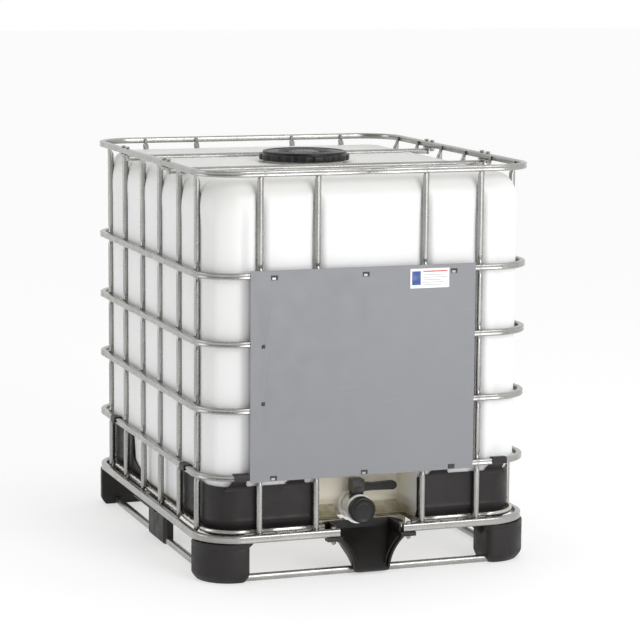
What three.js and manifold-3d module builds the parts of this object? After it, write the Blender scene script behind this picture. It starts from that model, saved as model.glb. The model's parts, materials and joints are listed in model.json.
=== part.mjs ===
// Intermediate bulk container: a blow-moulded 1000 litre bottle in a tubular steel cage,
// on a steel and plastic pallet. Millimetres, +Z up, the outlet valve faces -Y.
// The origin is on the floor under the middle of the cage.
import * as THREE from "three";
import { mergeVertices } from "three/addons/utils/BufferGeometryUtils.js";
import Module from "manifold-3d";

const wasm = await Module();
wasm.setup();

// ---- driving dimensions ----
const GAP = 0.3; // clearance between pieces that touch
const CAGE_WIDTH = 1000; // X, over the rings
const CAGE_LENGTH = 1200; // Y, over the rings
const CAGE_TOP = 1150; // top of the top ring
const HALF_X = CAGE_WIDTH / 2;
const HALF_Y = CAGE_LENGTH / 2;
const CORNER_RADIUS = 125; // outer bend of the rings
const TUBE = 18; // cage tube, across
const TUBE_EDGE = 4; // chamfer that stands for the rounded tube edges
const ARC_STEPS = 3; // an arc is drawn with twice as many straight steps
const RING_LEVELS = [CAGE_TOP - TUBE / 2, 861, 673, 487, 300]; // ring centre heights, from the top
const UPRIGHTS_X = [-327, -160, 160, 327]; // on the front and the back
const UPRIGHTS_Y = [-458, -286, -92, 92, 286, 458]; // on each side
const UPRIGHT_FACETS = 10;
const UPRIGHT_BOTTOM = 118;
const UPRIGHT_TOP = 1146;
const UPRIGHT_IN = TUBE * 1.5 + GAP; // ring's outer face to an upright's centre plane
const CAGE_INSIDE = TUBE * 2 + GAP; // ring's outer face to the uprights' inner face

const PALLET_BOTTOM = 113; // underside of the pallet ring
const PALLET_TOP = 136;
const SKID_HALF_X = 457;
const SKID_HALF_Y = 577;
const SKID_TUBE = 20;
const SKID_HEIGHT = 21;
const SKID_RADIUS = 100;

const PAN_HALF_X = HALF_X - CAGE_INSIDE - 2 * GAP;
const PAN_HALF_Y = HALF_Y - CAGE_INSIDE - 2 * GAP;
const PAN_RADIUS = CORNER_RADIUS - CAGE_INSIDE;
const PAN_LIP = 3.2;
const PAN_BOTTOM = 128;
const PAN_FLOOR = [138, 141];
const PAN_TOP = 145;
const PAN_NOTCH_HALF = 130; // the pan is cut away under the valve guard
const PAN_NOTCH_BACK = -478;
const PAN_CHANNEL_HALF = 54; // and further back, in a channel for the valve
const PAN_CHANNEL_BACK = -394;
const BEAM_X = 245; // the two beams under the pan
const BEAM_WIDTH = 60;
const BEAM_SHEET = 2.5;
const BEAM_BOTTOM = 116;

const GUARD_FLANGE = [101, PALLET_BOTTOM - GAP]; // heights of the flanges under the pallet ring
const RING_END_X = 96; // the pallet ring stops here on each side of the guard
const GUARD_BOLT_X = 113;
const BOLT_RADIUS = 4;
const BOLT_HOLE_RADIUS = 4.6;
const HEAD_RADIUS = 7;
const BOLT_FACETS = 8;
const BOLT_TIP = 3; // how far a guard bolt sticks out of its nut
const HEX = 6; // corners of a bolt head or nut

const BOTTLE_WALL = 2.5;
const BOTTLE_SIDE_IN = 24; // cage's outer face to the bottle's widest face
const BOTTLE_RADIUS = CORNER_RADIUS - BOTTLE_SIDE_IN;
const GROOVE_HALF_WIDTH = 16;
const GROOVE_FLOOR_HALF_WIDTH = 10.5;
const BOTTLE_FOOT_INSET = 22; // the bottle's lower end is narrower, inside the protectors
const BOTTLE_FOOT_RADIUS = 26; // its bottom edge is rounded
const FOOT_ROUND_UP = 0.3; // one point half way round that edge, as parts of the radius
const FOOT_ROUND_IN = 0.35;
const BOTTLE_LIFT = 0.4; // clearance between the pan and the bottle
const BOTTLE_WIDENS = [316, 346]; // above the lowest ring it widens to fill the cage
const BOTTLE_BOTTOM = PAN_FLOOR[1] + BOTTLE_LIFT;
const BOTTLE_TOP = 1108;
const SHOULDER_HEIGHT = 90;
const SHOULDER_INSET = 50;
const NECK_RADIUS = 117.5;
const NECK_BORE = 112.5;
const NECK_TOP = 1134;
const NECK_BORE_DEPTH = 9; // how far its bore is cut below the top of the bottle

const RECESS_HALF_X = 146; // the recess that the valve stands in
const RECESS_BACK = -395;
const RECESS_TOP = 335;
const RECESS_ARC = 45;

const LID_RADIUS = 135;
const LID_DISC_RADIUS = 124;
const LID_BOTTOM = 1124;
const LID_STEP = 1142;
const LID_FACETS = 32;
const LID_UNDERSIDE = 1138;

const VALVE_Z = 167; // height of the outlet's axis
const VALVE_FACETS = 24;
const OUTLET_BORE = 25;
const OUTLET_NECK_RADIUS = 32;
const OUTLET_NECK_END = -418;
const OUTLET_BORE_DEPTH = 12; // how far the bore is cut past the recess wall
const UNION_NUT_Y = [-434, -400];
const UNION_NUT_RADIUS = 45;
const STEM_Y = -468;
const STEM_RADIUS = 6;
const TOWER_RADIUS = 17;
const TOWER_TOP = 204;
const LEVER_REACH = 122;
const LEVER_HEIGHTS = [210, 236];
const HUB_TOP = 248;
const HUB_RADIUS = 20;
const HUB_ROOF = 9; // thickness over the stem
const LEVER_HALF_THICKNESS = 7;
const DISC_THICKNESS = 4;
const CAP_RADIUS = 37.5;
const CAP_FACE = -530;
const CAP_OPEN_END = -503;
const CAP_THICKNESS = 8; // of the closed end
const CAP_EDGE = 2; // chamfer round the face

const PLATE_X = [-364, 303];
const PLATE_Z = [287, 876];
const PLATE_SHEET = 1.2;
const PROTECTOR_WALL = 4;
const PROTECTOR_Z = [BOTTLE_BOTTOM, 268];
const PROTECTOR_FROM_X = 150; // where the wings end, from the middle planes
const PROTECTOR_FROM_Y = 250;

const FOOT_TOP = PALLET_BOTTOM - GAP;
const FOOT_LENGTH_X = 141; // a corner foot's walls
const FOOT_LENGTH_Y = 112;
const FOOT_WALL = 7;
const FOOT_RADIUS = 108;
const FOOT_RIM_BOTTOM = 20; // the outer wall ends above the floor, the sole below it is set in
const FOOT_FLANGE = 8; // thickness of a foot's top
const FOOT_POCKET_BOTTOM = 30; // a foot is hollow from here up to its top
const SOLE_INSET_X = 24; // the sole is set in from the outer wall
const SOLE_INSET_Y = 19;
const SOLE_RADIUS = 88;
const CHANNEL_PLAY = 0.5; // room for the skid tube in a foot's channel
const MID_FOOT_HALF_LENGTH = 91;
const MID_FOOT_DEPTH = 62;
const MID_FOOT_PROUD = 5; // a mid foot's face stands this far outside the skid tube
const MID_FOOT_FLANGE_REACH = 20; // its top flange is longer than the block at each end
const GUSSET_REACH = 18; // the gussets under that flange
const GUSSET_DROP = 34;
const GUSSET_SET_BACK = 4;

const BAR_Y = 218; // the two bars across the top
const BAR_Z = 1120;

// ---- materials ----
const steel = () => new THREE.MeshStandardMaterial({ color: 0xaeb0b0, roughness: 0.42, metalness: 0.9 });
const plateGrey = () => new THREE.MeshStandardMaterial({ color: 0x8b8c91, roughness: 0.55, metalness: 0.2 });
const blackPlastic = () => new THREE.MeshStandardMaterial({ color: 0x2b2827, roughness: 0.6, metalness: 0 });
const bottleWhite = () => new THREE.MeshStandardMaterial({ color: 0xeceae4, roughness: 0.4, metalness: 0 });
const valveWhite = () => new THREE.MeshStandardMaterial({ color: 0xe4e0d6, roughness: 0.45, metalness: 0 });
const sealRubber = () => new THREE.MeshStandardMaterial({ color: 0x3a3a3a, roughness: 0.85, metalness: 0 });

// ---- solid helpers ----
function toSolid(geometry) {
  const bare = geometry.clone();
  bare.deleteAttribute("normal");
  bare.deleteAttribute("uv");
  const merged = mergeVertices(bare, 1e-4);
  const mesh = new wasm.Mesh({
    numProp: 3,
    vertProperties: new Float32Array(merged.attributes.position.array),
    triVerts: new Uint32Array(merged.index.array),
  });
  mesh.merge();
  return new wasm.Manifold(mesh);
}

function toGeometry(solid) {
  const mesh = solid.getMesh();
  const geometry = new THREE.BufferGeometry();
  geometry.setAttribute("position", new THREE.BufferAttribute(mesh.vertProperties, 3));
  geometry.setIndex(new THREE.BufferAttribute(mesh.triVerts, 1));
  return geometry;
}

// A block between two values on each axis.
function block(x, y, z) {
  const geometry = new THREE.BoxGeometry(x[1] - x[0], y[1] - y[0], z[1] - z[0]);
  geometry.translate((x[0] + x[1]) / 2, (y[0] + y[1]) / 2, (z[0] + z[1]) / 2);
  return toSolid(geometry);
}

// An upright round bar.
function post(x, y, z, radius, facets) {
  const geometry = new THREE.CylinderGeometry(radius, radius, z[1] - z[0], facets);
  geometry.rotateX(Math.PI / 2);
  geometry.translate(x, y, (z[0] + z[1]) / 2);
  return toSolid(geometry);
}

function roundedRectangle(halfX, halfY, radius, Path = THREE.Shape) {
  const path = new Path();
  path.moveTo(halfX, -halfY + radius);
  path.lineTo(halfX, halfY - radius);
  path.absarc(halfX - radius, halfY - radius, radius, 0, Math.PI / 2);
  path.lineTo(-halfX + radius, halfY);
  path.absarc(-halfX + radius, halfY - radius, radius, Math.PI / 2, Math.PI);
  path.lineTo(-halfX, -halfY + radius);
  path.absarc(-halfX + radius, -halfY + radius, radius, Math.PI, Math.PI * 1.5);
  path.lineTo(halfX - radius, -halfY);
  path.absarc(halfX - radius, -halfY + radius, radius, Math.PI * 1.5, Math.PI * 2);
  return path;
}

function extrudeUp(shape, z) {
  const geometry = new THREE.ExtrudeGeometry(shape, {
    depth: z[1] - z[0],
    bevelEnabled: false,
    curveSegments: ARC_STEPS,
  });
  geometry.translate(0, 0, z[0]);
  return toSolid(geometry);
}

// A wall that follows a rounded rectangle, between two heights.
function loopWall(halfX, halfY, radius, wall, z) {
  const outer = extrudeUp(roundedRectangle(halfX, halfY, radius), z);
  const cutHeights = [z[0] - 1, z[1] + 1];
  const inner = roundedRectangle(halfX - wall, halfY - wall, radius - wall);
  return outer.subtract(extrudeUp(inner, cutHeights));
}

// A closed tube loop with chamfered edges, as a frame ring.
function tubeLoop(halfX, halfY, radius, width, z, edge) {
  const shape = roundedRectangle(halfX, halfY, radius);
  shape.holes.push(roundedRectangle(halfX - width, halfY - width, radius - width, THREE.Path));
  const geometry = new THREE.ExtrudeGeometry(shape, {
    depth: z[1] - z[0] - 2 * edge,
    bevelThickness: edge,
    bevelSize: edge,
    bevelOffset: -edge,
    bevelSegments: 1,
    curveSegments: ARC_STEPS,
  });
  geometry.translate(0, 0, z[0] + edge);
  return toSolid(geometry);
}

// A turned solid about Y from (radius, height) points, in either order round the profile.
function turned(points, facets) {
  const profile = points.map(([radius, height]) => new THREE.Vector2(radius, height));
  if (THREE.ShapeUtils.area(profile) < 0) profile.reverse();
  return new THREE.LatheGeometry(profile, facets);
}

// A turned piece about the outlet's axis. Points are (radius, y).
function turnedAboutOutlet(points) {
  const geometry = turned(points, VALVE_FACETS);
  geometry.translate(0, 0, VALVE_Z);
  return toSolid(geometry);
}

// A turned piece about the vertical axis through the origin. Points are (radius, z).
function turnedUpright(points) {
  const geometry = turned(points, LID_FACETS);
  geometry.rotateX(Math.PI / 2);
  return toSolid(geometry);
}

const container = new THREE.Group();

function addPiece(name, solid, material) {
  const mesh = new THREE.Mesh(toGeometry(solid), material);
  mesh.name = name;
  container.add(mesh);
}

// ---- cage ----
function cageRings() {
  RING_LEVELS.forEach((level, index) => {
    const z = [level - TUBE / 2, level + TUBE / 2];
    let ring = tubeLoop(HALF_X, HALF_Y, CORNER_RADIUS, TUBE, z, TUBE_EDGE);
    if (index === 0) {
      for (const [x, y] of bracketBoltPlaces()) {
        ring = ring.subtract(post(x, y, [z[0] - 1, z[1] + 1], BOLT_HOLE_RADIUS, BOLT_FACETS));
      }
    }
    addPiece(`cage_ring_${index + 1}`, ring, steel());
  });
}

function upright(x, y) {
  const radius = TUBE / 2 / Math.cos(Math.PI / UPRIGHT_FACETS);
  const length = UPRIGHT_TOP - UPRIGHT_BOTTOM;
  const geometry = new THREE.CylinderGeometry(radius, radius, length, UPRIGHT_FACETS);
  const onSide = Math.abs(x) > Math.abs(UPRIGHTS_X[0]);
  geometry.rotateY(Math.PI / UPRIGHT_FACETS + (onSide ? Math.PI / 2 : 0));
  geometry.rotateX(Math.PI / 2);
  geometry.translate(x, y, (UPRIGHT_TOP + UPRIGHT_BOTTOM) / 2);
  return toSolid(geometry);
}

function uprights() {
  const planeX = HALF_X - UPRIGHT_IN;
  const planeY = HALF_Y - UPRIGHT_IN;
  UPRIGHTS_X.forEach((x, index) => {
    addPiece(`front_upright_${index + 1}`, upright(x, -planeY), steel());
    addPiece(`rear_upright_${index + 1}`, upright(x, planeY), steel());
  });
  UPRIGHTS_Y.forEach((y, index) => {
    addPiece(`left_upright_${index + 1}`, upright(-planeX, y), steel());
    addPiece(`right_upright_${index + 1}`, upright(planeX, y), steel());
  });
}

// ---- bars across the top, with their brackets ----
const BRACKET_HALF_LENGTH = 32;
const BRACKET_SHEET = 4;
const BRACKET_BOLT_SPREAD = 22;
const BRACKET_TAB_HALF_WIDTH = 12;
const BOLT_HEAD_HEIGHT = 5.5;
const NUT_HEIGHT = 6.5;

function bracketBoltPlaces() {
  const places = [];
  for (const side of [-1, 1]) {
    for (const barY of [-BAR_Y, BAR_Y]) {
      for (const end of [-1, 1]) {
        places.push([side * (HALF_X - TUBE / 2), barY + end * BRACKET_BOLT_SPREAD]);
      }
    }
  }
  return places;
}

function barBracket(side, barY) {
  const ringBottom = CAGE_TOP - TUBE;
  const plateTop = ringBottom - GAP;
  const plateBottom = plateTop - BRACKET_SHEET;
  const outer = side * HALF_X;
  const inner = side * (HALF_X - TUBE);
  const plateX = [Math.min(outer, inner), Math.max(outer, inner)];
  const lengthY = [barY - BRACKET_HALF_LENGTH, barY + BRACKET_HALF_LENGTH];
  const tabX = side > 0 ? [inner, inner + BRACKET_SHEET] : [inner - BRACKET_SHEET, inner];
  const tabY = [barY - BRACKET_TAB_HALF_WIDTH, barY + BRACKET_TAB_HALF_WIDTH];
  let bracket = block(plateX, lengthY, [plateBottom, plateTop]);
  bracket = bracket.add(block(tabX, tabY, [BAR_Z - TUBE / 2, plateTop]));
  const headBottom = CAGE_TOP + GAP;
  for (const end of [-1, 1]) {
    const x = side * (HALF_X - TUBE / 2);
    const y = barY + end * BRACKET_BOLT_SPREAD;
    const shank = [plateBottom - NUT_HEIGHT, headBottom + BOLT_HEAD_HEIGHT];
    bracket = bracket.add(post(x, y, shank, BOLT_RADIUS, BOLT_FACETS));
    bracket = bracket.add(post(x, y, [headBottom, headBottom + BOLT_HEAD_HEIGHT], HEAD_RADIUS, HEX));
    bracket = bracket.add(post(x, y, [plateBottom - NUT_HEIGHT, plateBottom + 1], HEAD_RADIUS, HEX));
  }
  return bracket;
}

function crossBar(barY) {
  const reach = HALF_X - TUBE - GAP;
  const radius = TUBE / 2;
  const geometry = new THREE.CylinderGeometry(radius, radius, 2 * reach, UPRIGHT_FACETS);
  geometry.rotateZ(Math.PI / 2);
  geometry.translate(0, barY, BAR_Z);
  return toSolid(geometry);
}

function topBars() {
  for (const [place, barY] of [["front", -BAR_Y], ["rear", BAR_Y]]) {
    addPiece(`${place}_cross_bar`, crossBar(barY), steel());
    addPiece(`${place}_bar_bracket_left`, barBracket(-1, barY), steel());
    addPiece(`${place}_bar_bracket_right`, barBracket(1, barY), steel());
  }
}

// ---- front plate ----
const SLOT_XS = [-295, -27, 237]; // slots near the plate's upper and lower edge
const SLOT_ZS = [296, 856];
const SLOT_HALF_X = 10;
const SLOT_HALF_Z = 6;
const SMALL_SLOTS = [[-326, 666], [-326, 506]];
const SMALL_SLOT_HALF = 5;

function frontPlate() {
  const back = -HALF_Y - GAP;
  const front = back - PLATE_SHEET;
  let plate = block(PLATE_X, [front, back], PLATE_Z);
  const through = [front - 1, back + 1];
  const cutSlot = (x, z, halfX, halfZ) => {
    plate = plate.subtract(block([x - halfX, x + halfX], through, [z - halfZ, z + halfZ]));
  };
  for (const x of SLOT_XS) {
    for (const z of SLOT_ZS) cutSlot(x, z, SLOT_HALF_X, SLOT_HALF_Z);
  }
  for (const [x, z] of SMALL_SLOTS) cutSlot(x, z, SMALL_SLOT_HALF, SMALL_SLOT_HALF);
  return plate;
}

// ---- pallet ----
function palletRing() {
  const z = [PALLET_BOTTOM, PALLET_TOP];
  let ring = tubeLoop(HALF_X, HALF_Y, CORNER_RADIUS, TUBE, z, TUBE_EDGE);
  const through = [z[0] - 1, z[1] + 1];
  const front = [-HALF_Y - 1, -HALF_Y + TUBE + 1];
  ring = ring.subtract(block([-RING_END_X, RING_END_X], front, through));
  for (const x of [-GUARD_BOLT_X, GUARD_BOLT_X]) {
    ring = ring.subtract(post(x, -HALF_Y + TUBE / 2, through, BOLT_HOLE_RADIUS, BOLT_FACETS));
  }
  return ring;
}

function skidRing(play = 0) {
  const halfX = SKID_HALF_X + play;
  const halfY = SKID_HALF_Y + play;
  const z = [play > 0 ? -1 : 0, SKID_HEIGHT + play];
  return tubeLoop(halfX, halfY, SKID_RADIUS + play, SKID_TUBE + 2 * play, z, play > 0 ? 1 : TUBE_EDGE);
}

function bottomPan() {
  const lip = loopWall(PAN_HALF_X, PAN_HALF_Y, PAN_RADIUS, PAN_LIP, [PAN_BOTTOM, PAN_TOP]);
  const floor = extrudeUp(roundedRectangle(PAN_HALF_X - 1, PAN_HALF_Y - 1, PAN_RADIUS - 1), PAN_FLOOR);
  const notch = block([-PAN_NOTCH_HALF, PAN_NOTCH_HALF], [-HALF_Y, PAN_NOTCH_BACK], [0, PAN_TOP + 1]);
  const channel = block([-PAN_CHANNEL_HALF, PAN_CHANNEL_HALF], [-HALF_Y, PAN_CHANNEL_BACK], [0, PAN_TOP + 1]);
  return lip.add(floor).subtract(notch).subtract(channel);
}

// A folded channel, open downwards, that runs from front to back under the pan.
function supportBeam(x) {
  const top = PAN_FLOOR[0] - GAP;
  const y = [-HALF_Y + TUBE + GAP, HALF_Y - TUBE - GAP];
  const half = BEAM_WIDTH / 2;
  const outside = block([x - half, x + half], y, [BEAM_BOTTOM, top]);
  const hollowX = [x - half + BEAM_SHEET, x + half - BEAM_SHEET];
  const channel = outside.subtract(block(hollowX, [y[0] - 1, y[1] + 1], [BEAM_BOTTOM - 1, top - BEAM_SHEET]));
  // The ends are notched so that the beam passes under the pan's lip.
  const lipTop = [PAN_BOTTOM - GAP, PAN_TOP];
  const lipInner = PAN_HALF_Y - PAN_LIP - GAP;
  const allX = [x - half - 1, x + half + 1];
  return channel
    .subtract(block(allX, [y[0] - 1, -lipInner], lipTop))
    .subtract(block(allX, [lipInner, y[1] + 1], lipTop));
}

// The stretch from a corner's outer face inwards, on the side that the sign says.
function cornerSpan(side, outer, length) {
  return side > 0 ? [outer - length, outer + 1] : [-outer - 1, -outer + length];
}

// A corner foot: an outer wall round the corner, a top flange, a rib, and a sole that
// straddles the skid tube. sideX and sideY say which corner.
function cornerFoot(sideX, sideY) {
  const outerX = HALF_X - 1;
  const outerY = HALF_Y - 1;
  const x = cornerSpan(sideX, outerX, FOOT_LENGTH_X);
  const y = cornerSpan(sideY, outerY, FOOT_LENGTH_Y);
  const corner = block(x, y, [-1, FOOT_TOP + 1]);
  const plan = roundedRectangle(outerX, outerY, FOOT_RADIUS);
  const body = extrudeUp(plan, [FOOT_RIM_BOTTOM, FOOT_TOP]).intersect(corner);
  const pocketPlan = roundedRectangle(outerX - FOOT_WALL, outerY - FOOT_WALL, FOOT_RADIUS - FOOT_WALL);
  const pocket = extrudeUp(pocketPlan, [FOOT_POCKET_BOTTOM, FOOT_TOP - FOOT_FLANGE]);
  const ribX = sideX > 0 ? [x[0], x[0] + FOOT_WALL] : [x[1] - FOOT_WALL, x[1]];
  const rib = block(ribX, y, [0, FOOT_TOP]);
  const solePlan = roundedRectangle(outerX - SOLE_INSET_X, outerY - SOLE_INSET_Y, SOLE_RADIUS);
  const sole = extrudeUp(solePlan, [0, FOOT_RIM_BOTTOM + 1]).intersect(corner);
  return body.subtract(pocket.subtract(rib)).add(sole).subtract(skidRing(CHANNEL_PLAY));
}

// A triangular gusset under a mid foot's flange, at one end of the block.
function midFootGusset(end, face) {
  const root = end * (MID_FOOT_HALF_LENGTH - 1);
  const top = FOOT_TOP - FOOT_FLANGE + 1;
  const gusset = new THREE.Shape();
  gusset.moveTo(root, top);
  gusset.lineTo(end * (MID_FOOT_HALF_LENGTH + GUSSET_REACH), top);
  gusset.lineTo(root, FOOT_TOP - GUSSET_DROP);
  const depth = MID_FOOT_DEPTH - 2 * GUSSET_SET_BACK;
  const geometry = new THREE.ExtrudeGeometry(gusset, { depth, bevelEnabled: false });
  geometry.rotateX(Math.PI / 2);
  geometry.rotateZ(Math.PI / 2);
  geometry.translate(face + GUSSET_SET_BACK, 0, 0);
  return toSolid(geometry);
}

// A foot in the middle of a side: a block with a hollow back, under a longer top flange.
// It is made for the left side and turned into place. reach is the distance from the middle
// to the cage's outer face on that side, and skidHalf the distance to the skid tube's.
function midFoot(turn, reach, skidHalf) {
  const half = MID_FOOT_HALF_LENGTH;
  const face = -skidHalf - MID_FOOT_PROUD;
  const back = face + MID_FOOT_DEPTH;
  const flangeBottom = FOOT_TOP - FOOT_FLANGE;
  const hollowX = [face + FOOT_WALL, back + 1];
  const hollowY = [-half + FOOT_WALL, half - FOOT_WALL];
  const flangeY = [-half - MID_FOOT_FLANGE_REACH, half + MID_FOOT_FLANGE_REACH];
  const foot = block([face, back], [-half, half], [0, FOOT_TOP])
    .subtract(block(hollowX, hollowY, [FOOT_POCKET_BOTTOM, flangeBottom]))
    .add(block([-reach + 1, back], flangeY, [flangeBottom, FOOT_TOP]))
    .add(midFootGusset(-1, face))
    .add(midFootGusset(1, face));
  return foot.rotate([0, 0, turn]).subtract(skidRing(CHANNEL_PLAY));
}

// ---- valve guard: a scoop that carries spills from the outlet to the front edge ----
const GUARD_BACK = -486;
const GUARD_WALL = 5;
const SCOOP_FRONT_Z = 8; // the scoop's floor at the front edge
const SCOOP_BACK_Z = 110; // and at its back
const SCOOP_TOP_HALF = 94;
const SCOOP_TOP_Z = 104; // the sides are upright from here
const SCOOP_FOOT_HALF = 52;
const SCOOP_FOOT_Z = 6;
const SCOOP_WAIST = [5, 65]; // how far the sides swell from the foot, and at what height
const WING_TOP = 134;
const WING_HALF = 112;
const WING_HEIGHTS = [GUARD_FLANGE[1] - 6, GUARD_FLANGE[1] + 2];
const FLANGE_END = 133; // the flanges under the pallet ring
const FLANGE_DEPTH = 26;
const CAP_ROOM = 46; // radius kept free round the outlet's axis

// Outline of the scoop seen from the front, narrower at the foot.
function scoopOutline(inset) {
  const top = WING_TOP + (inset > 0 ? 1 : 0);
  const topHalf = SCOOP_TOP_HALF - inset;
  const footHalf = SCOOP_FOOT_HALF - inset;
  const waistHalf = footHalf + SCOOP_WAIST[0];
  const foot = SCOOP_FOOT_Z + inset;
  const shape = new THREE.Shape();
  shape.moveTo(-footHalf, foot);
  shape.lineTo(footHalf, foot);
  shape.quadraticCurveTo(waistHalf, SCOOP_WAIST[1], topHalf, SCOOP_TOP_Z);
  shape.lineTo(topHalf, top);
  shape.lineTo(-topHalf, top);
  shape.lineTo(-topHalf, SCOOP_TOP_Z);
  shape.quadraticCurveTo(-waistHalf, SCOOP_WAIST[1], -footHalf, foot);
  return shape;
}

function extrudeBack(shape, front, back) {
  const geometry = new THREE.ExtrudeGeometry(shape, {
    depth: back - front,
    bevelEnabled: false,
    curveSegments: ARC_STEPS,
  });
  geometry.rotateX(Math.PI / 2);
  geometry.translate(0, back, 0);
  return toSolid(geometry);
}

// Everything above the sloping floor of the scoop, raised by lift.
function aboveScoopFloor(lift) {
  const front = -HALF_Y - 1;
  const back = GUARD_BACK + 1;
  const top = WING_TOP + 5;
  const shape = new THREE.Shape();
  shape.moveTo(front, SCOOP_FRONT_Z + lift);
  shape.lineTo(back, SCOOP_BACK_Z + lift);
  shape.lineTo(back, top);
  shape.lineTo(front, top);
  const halfWidth = FLANGE_END + 1;
  const geometry = new THREE.ExtrudeGeometry(shape, { depth: 2 * halfWidth, bevelEnabled: false });
  geometry.rotateX(Math.PI / 2);
  geometry.rotateZ(Math.PI / 2);
  geometry.translate(-halfWidth, 0, 0);
  return toSolid(geometry);
}

// Orders two values that were mirrored by a side's sign.
function mirrored(side, near, far) {
  return side > 0 ? [near, far] : [-far, -near];
}

function valveGuard() {
  const front = -HALF_Y;
  const ringBack = -HALF_Y + TUBE;
  let guard = extrudeBack(scoopOutline(0), front, GUARD_BACK).intersect(aboveScoopFloor(0));
  const inside = extrudeBack(scoopOutline(GUARD_WALL), front - 1, GUARD_BACK - GUARD_WALL);
  guard = guard.subtract(inside.intersect(aboveScoopFloor(GUARD_WALL + 1)));
  // The cheeks are low in front, so that they end under the line of the pallet ring's top.
  const aboveFlange = [GUARD_FLANGE[1], WING_TOP + 1];
  guard = guard.subtract(block([-WING_HALF, WING_HALF], [front - 1, ringBack], aboveFlange));
  for (const side of [-1, 1]) {
    const flangeX = mirrored(side, SCOOP_TOP_HALF - 6, FLANGE_END);
    const wingX = mirrored(side, SCOOP_TOP_HALF - 2, WING_HALF);
    const boltHeights = [GUARD_FLANGE[0] - 1, WING_TOP];
    guard = guard
      .add(block(flangeX, [front, front + FLANGE_DEPTH], GUARD_FLANGE))
      .add(block(wingX, [ringBack + 2, GUARD_BACK], WING_HEIGHTS))
      .subtract(post(side * GUARD_BOLT_X, ringBack - TUBE / 2, boltHeights, BOLT_HOLE_RADIUS, BOLT_FACETS));
  }
  const capRoom = new THREE.CylinderGeometry(CAP_ROOM, CAP_ROOM, 2 * WING_HALF, VALVE_FACETS);
  capRoom.translate(0, ringBack, VALVE_Z);
  return guard.subtract(toSolid(capRoom));
}

function guardBolt(x) {
  const y = -HALF_Y + TUBE / 2;
  const head = [PALLET_TOP + GAP, PALLET_TOP + GAP + BOLT_HEAD_HEIGHT];
  const nutTop = GUARD_FLANGE[0] - GAP;
  const shank = post(x, y, [nutTop - NUT_HEIGHT - BOLT_TIP, head[1]], BOLT_RADIUS, BOLT_FACETS);
  const nut = post(x, y, [nutTop - NUT_HEIGHT, nutTop], HEAD_RADIUS, HEX);
  return shank.add(post(x, y, head, HEAD_RADIUS, HEX)).add(nut);
}

// ---- corner protectors: black walls between the cage and the bottle's lower corners ----
const TAB_HALF_WIDTH = 20;
const FRONT_TAB_XS = [216, 387]; // hook tabs over the lowest ring
const SIDE_TAB_Y = { front: 405, rear: 340 };
const TAB_SHEET = 3;
const TAB_LIP = 16; // how far the hook's lip hangs over the ring's face

// A tab that rises from the wall and hooks over the ring, made for the front and turned.
function hookTab(along, wallOuter, ringOuter, turn, hooked) {
  const ringTop = RING_LEVELS[4] + TUBE / 2;
  const x = [along - TAB_HALF_WIDTH, along + TAB_HALF_WIDTH];
  const seat = ringTop + GAP;
  const lipFront = -ringOuter - GAP - TAB_SHEET;
  const riser = block(x, [-wallOuter, -wallOuter + TAB_SHEET], [PROTECTOR_Z[1] - 1, seat + TAB_SHEET]);
  if (!hooked) return riser.rotate([0, 0, turn]);
  const over = block(x, [lipFront, -wallOuter + 1], [seat, seat + TAB_SHEET]);
  const lip = block(x, [lipFront, lipFront + TAB_SHEET], [ringTop - TAB_LIP, seat + 1]);
  return riser.add(over).add(lip).rotate([0, 0, turn]);
}

function cornerProtector(sideX, sideY) {
  const outerX = PAN_HALF_X - PAN_LIP - GAP;
  const outerY = PAN_HALF_Y - PAN_LIP - GAP;
  const radius = PAN_RADIUS - PAN_LIP;
  const cornerX = mirrored(sideX, PROTECTOR_FROM_X, HALF_X);
  const cornerY = mirrored(sideY, PROTECTOR_FROM_Y, HALF_Y);
  const corner = block(cornerX, cornerY, [0, PROTECTOR_Z[1] + 1]);
  let piece = loopWall(outerX, outerY, radius, PROTECTOR_WALL, PROTECTOR_Z).intersect(corner);
  const facing = sideY < 0 ? 0 : 180;
  const alongX = sideY < 0 ? sideX : -sideX;
  FRONT_TAB_XS.forEach((x, index) => {
    piece = piece.add(hookTab(alongX * x, outerY, HALF_Y, facing, index === 1));
  });
  const sideTurn = sideX < 0 ? -90 : 90;
  const tabY = sideY < 0 ? SIDE_TAB_Y.front : SIDE_TAB_Y.rear;
  const alongY = sideX < 0 ? -sideY : sideY;
  return piece.add(hookTab(alongY * tabY, outerX, HALF_X, sideTurn, true));
}

// ---- bottle ----
const CORNER_STEPS = 5;

// One side of the bottle's outline, from -half to +half, with a groove at each upright.
// Returns (along, out) pairs.
function groovedSide(places, half, faceOut, grooveOut) {
  const floorOut = Math.min(faceOut, grooveOut);
  const pairs = [[-half, faceOut]];
  for (const place of places) {
    pairs.push([place - GROOVE_HALF_WIDTH, faceOut]);
    pairs.push([place - GROOVE_FLOOR_HALF_WIDTH, floorOut]);
    pairs.push([place + GROOVE_FLOOR_HALF_WIDTH, floorOut]);
    pairs.push([place + GROOVE_HALF_WIDTH, faceOut]);
  }
  pairs.push([half, faceOut]);
  return pairs;
}

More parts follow.
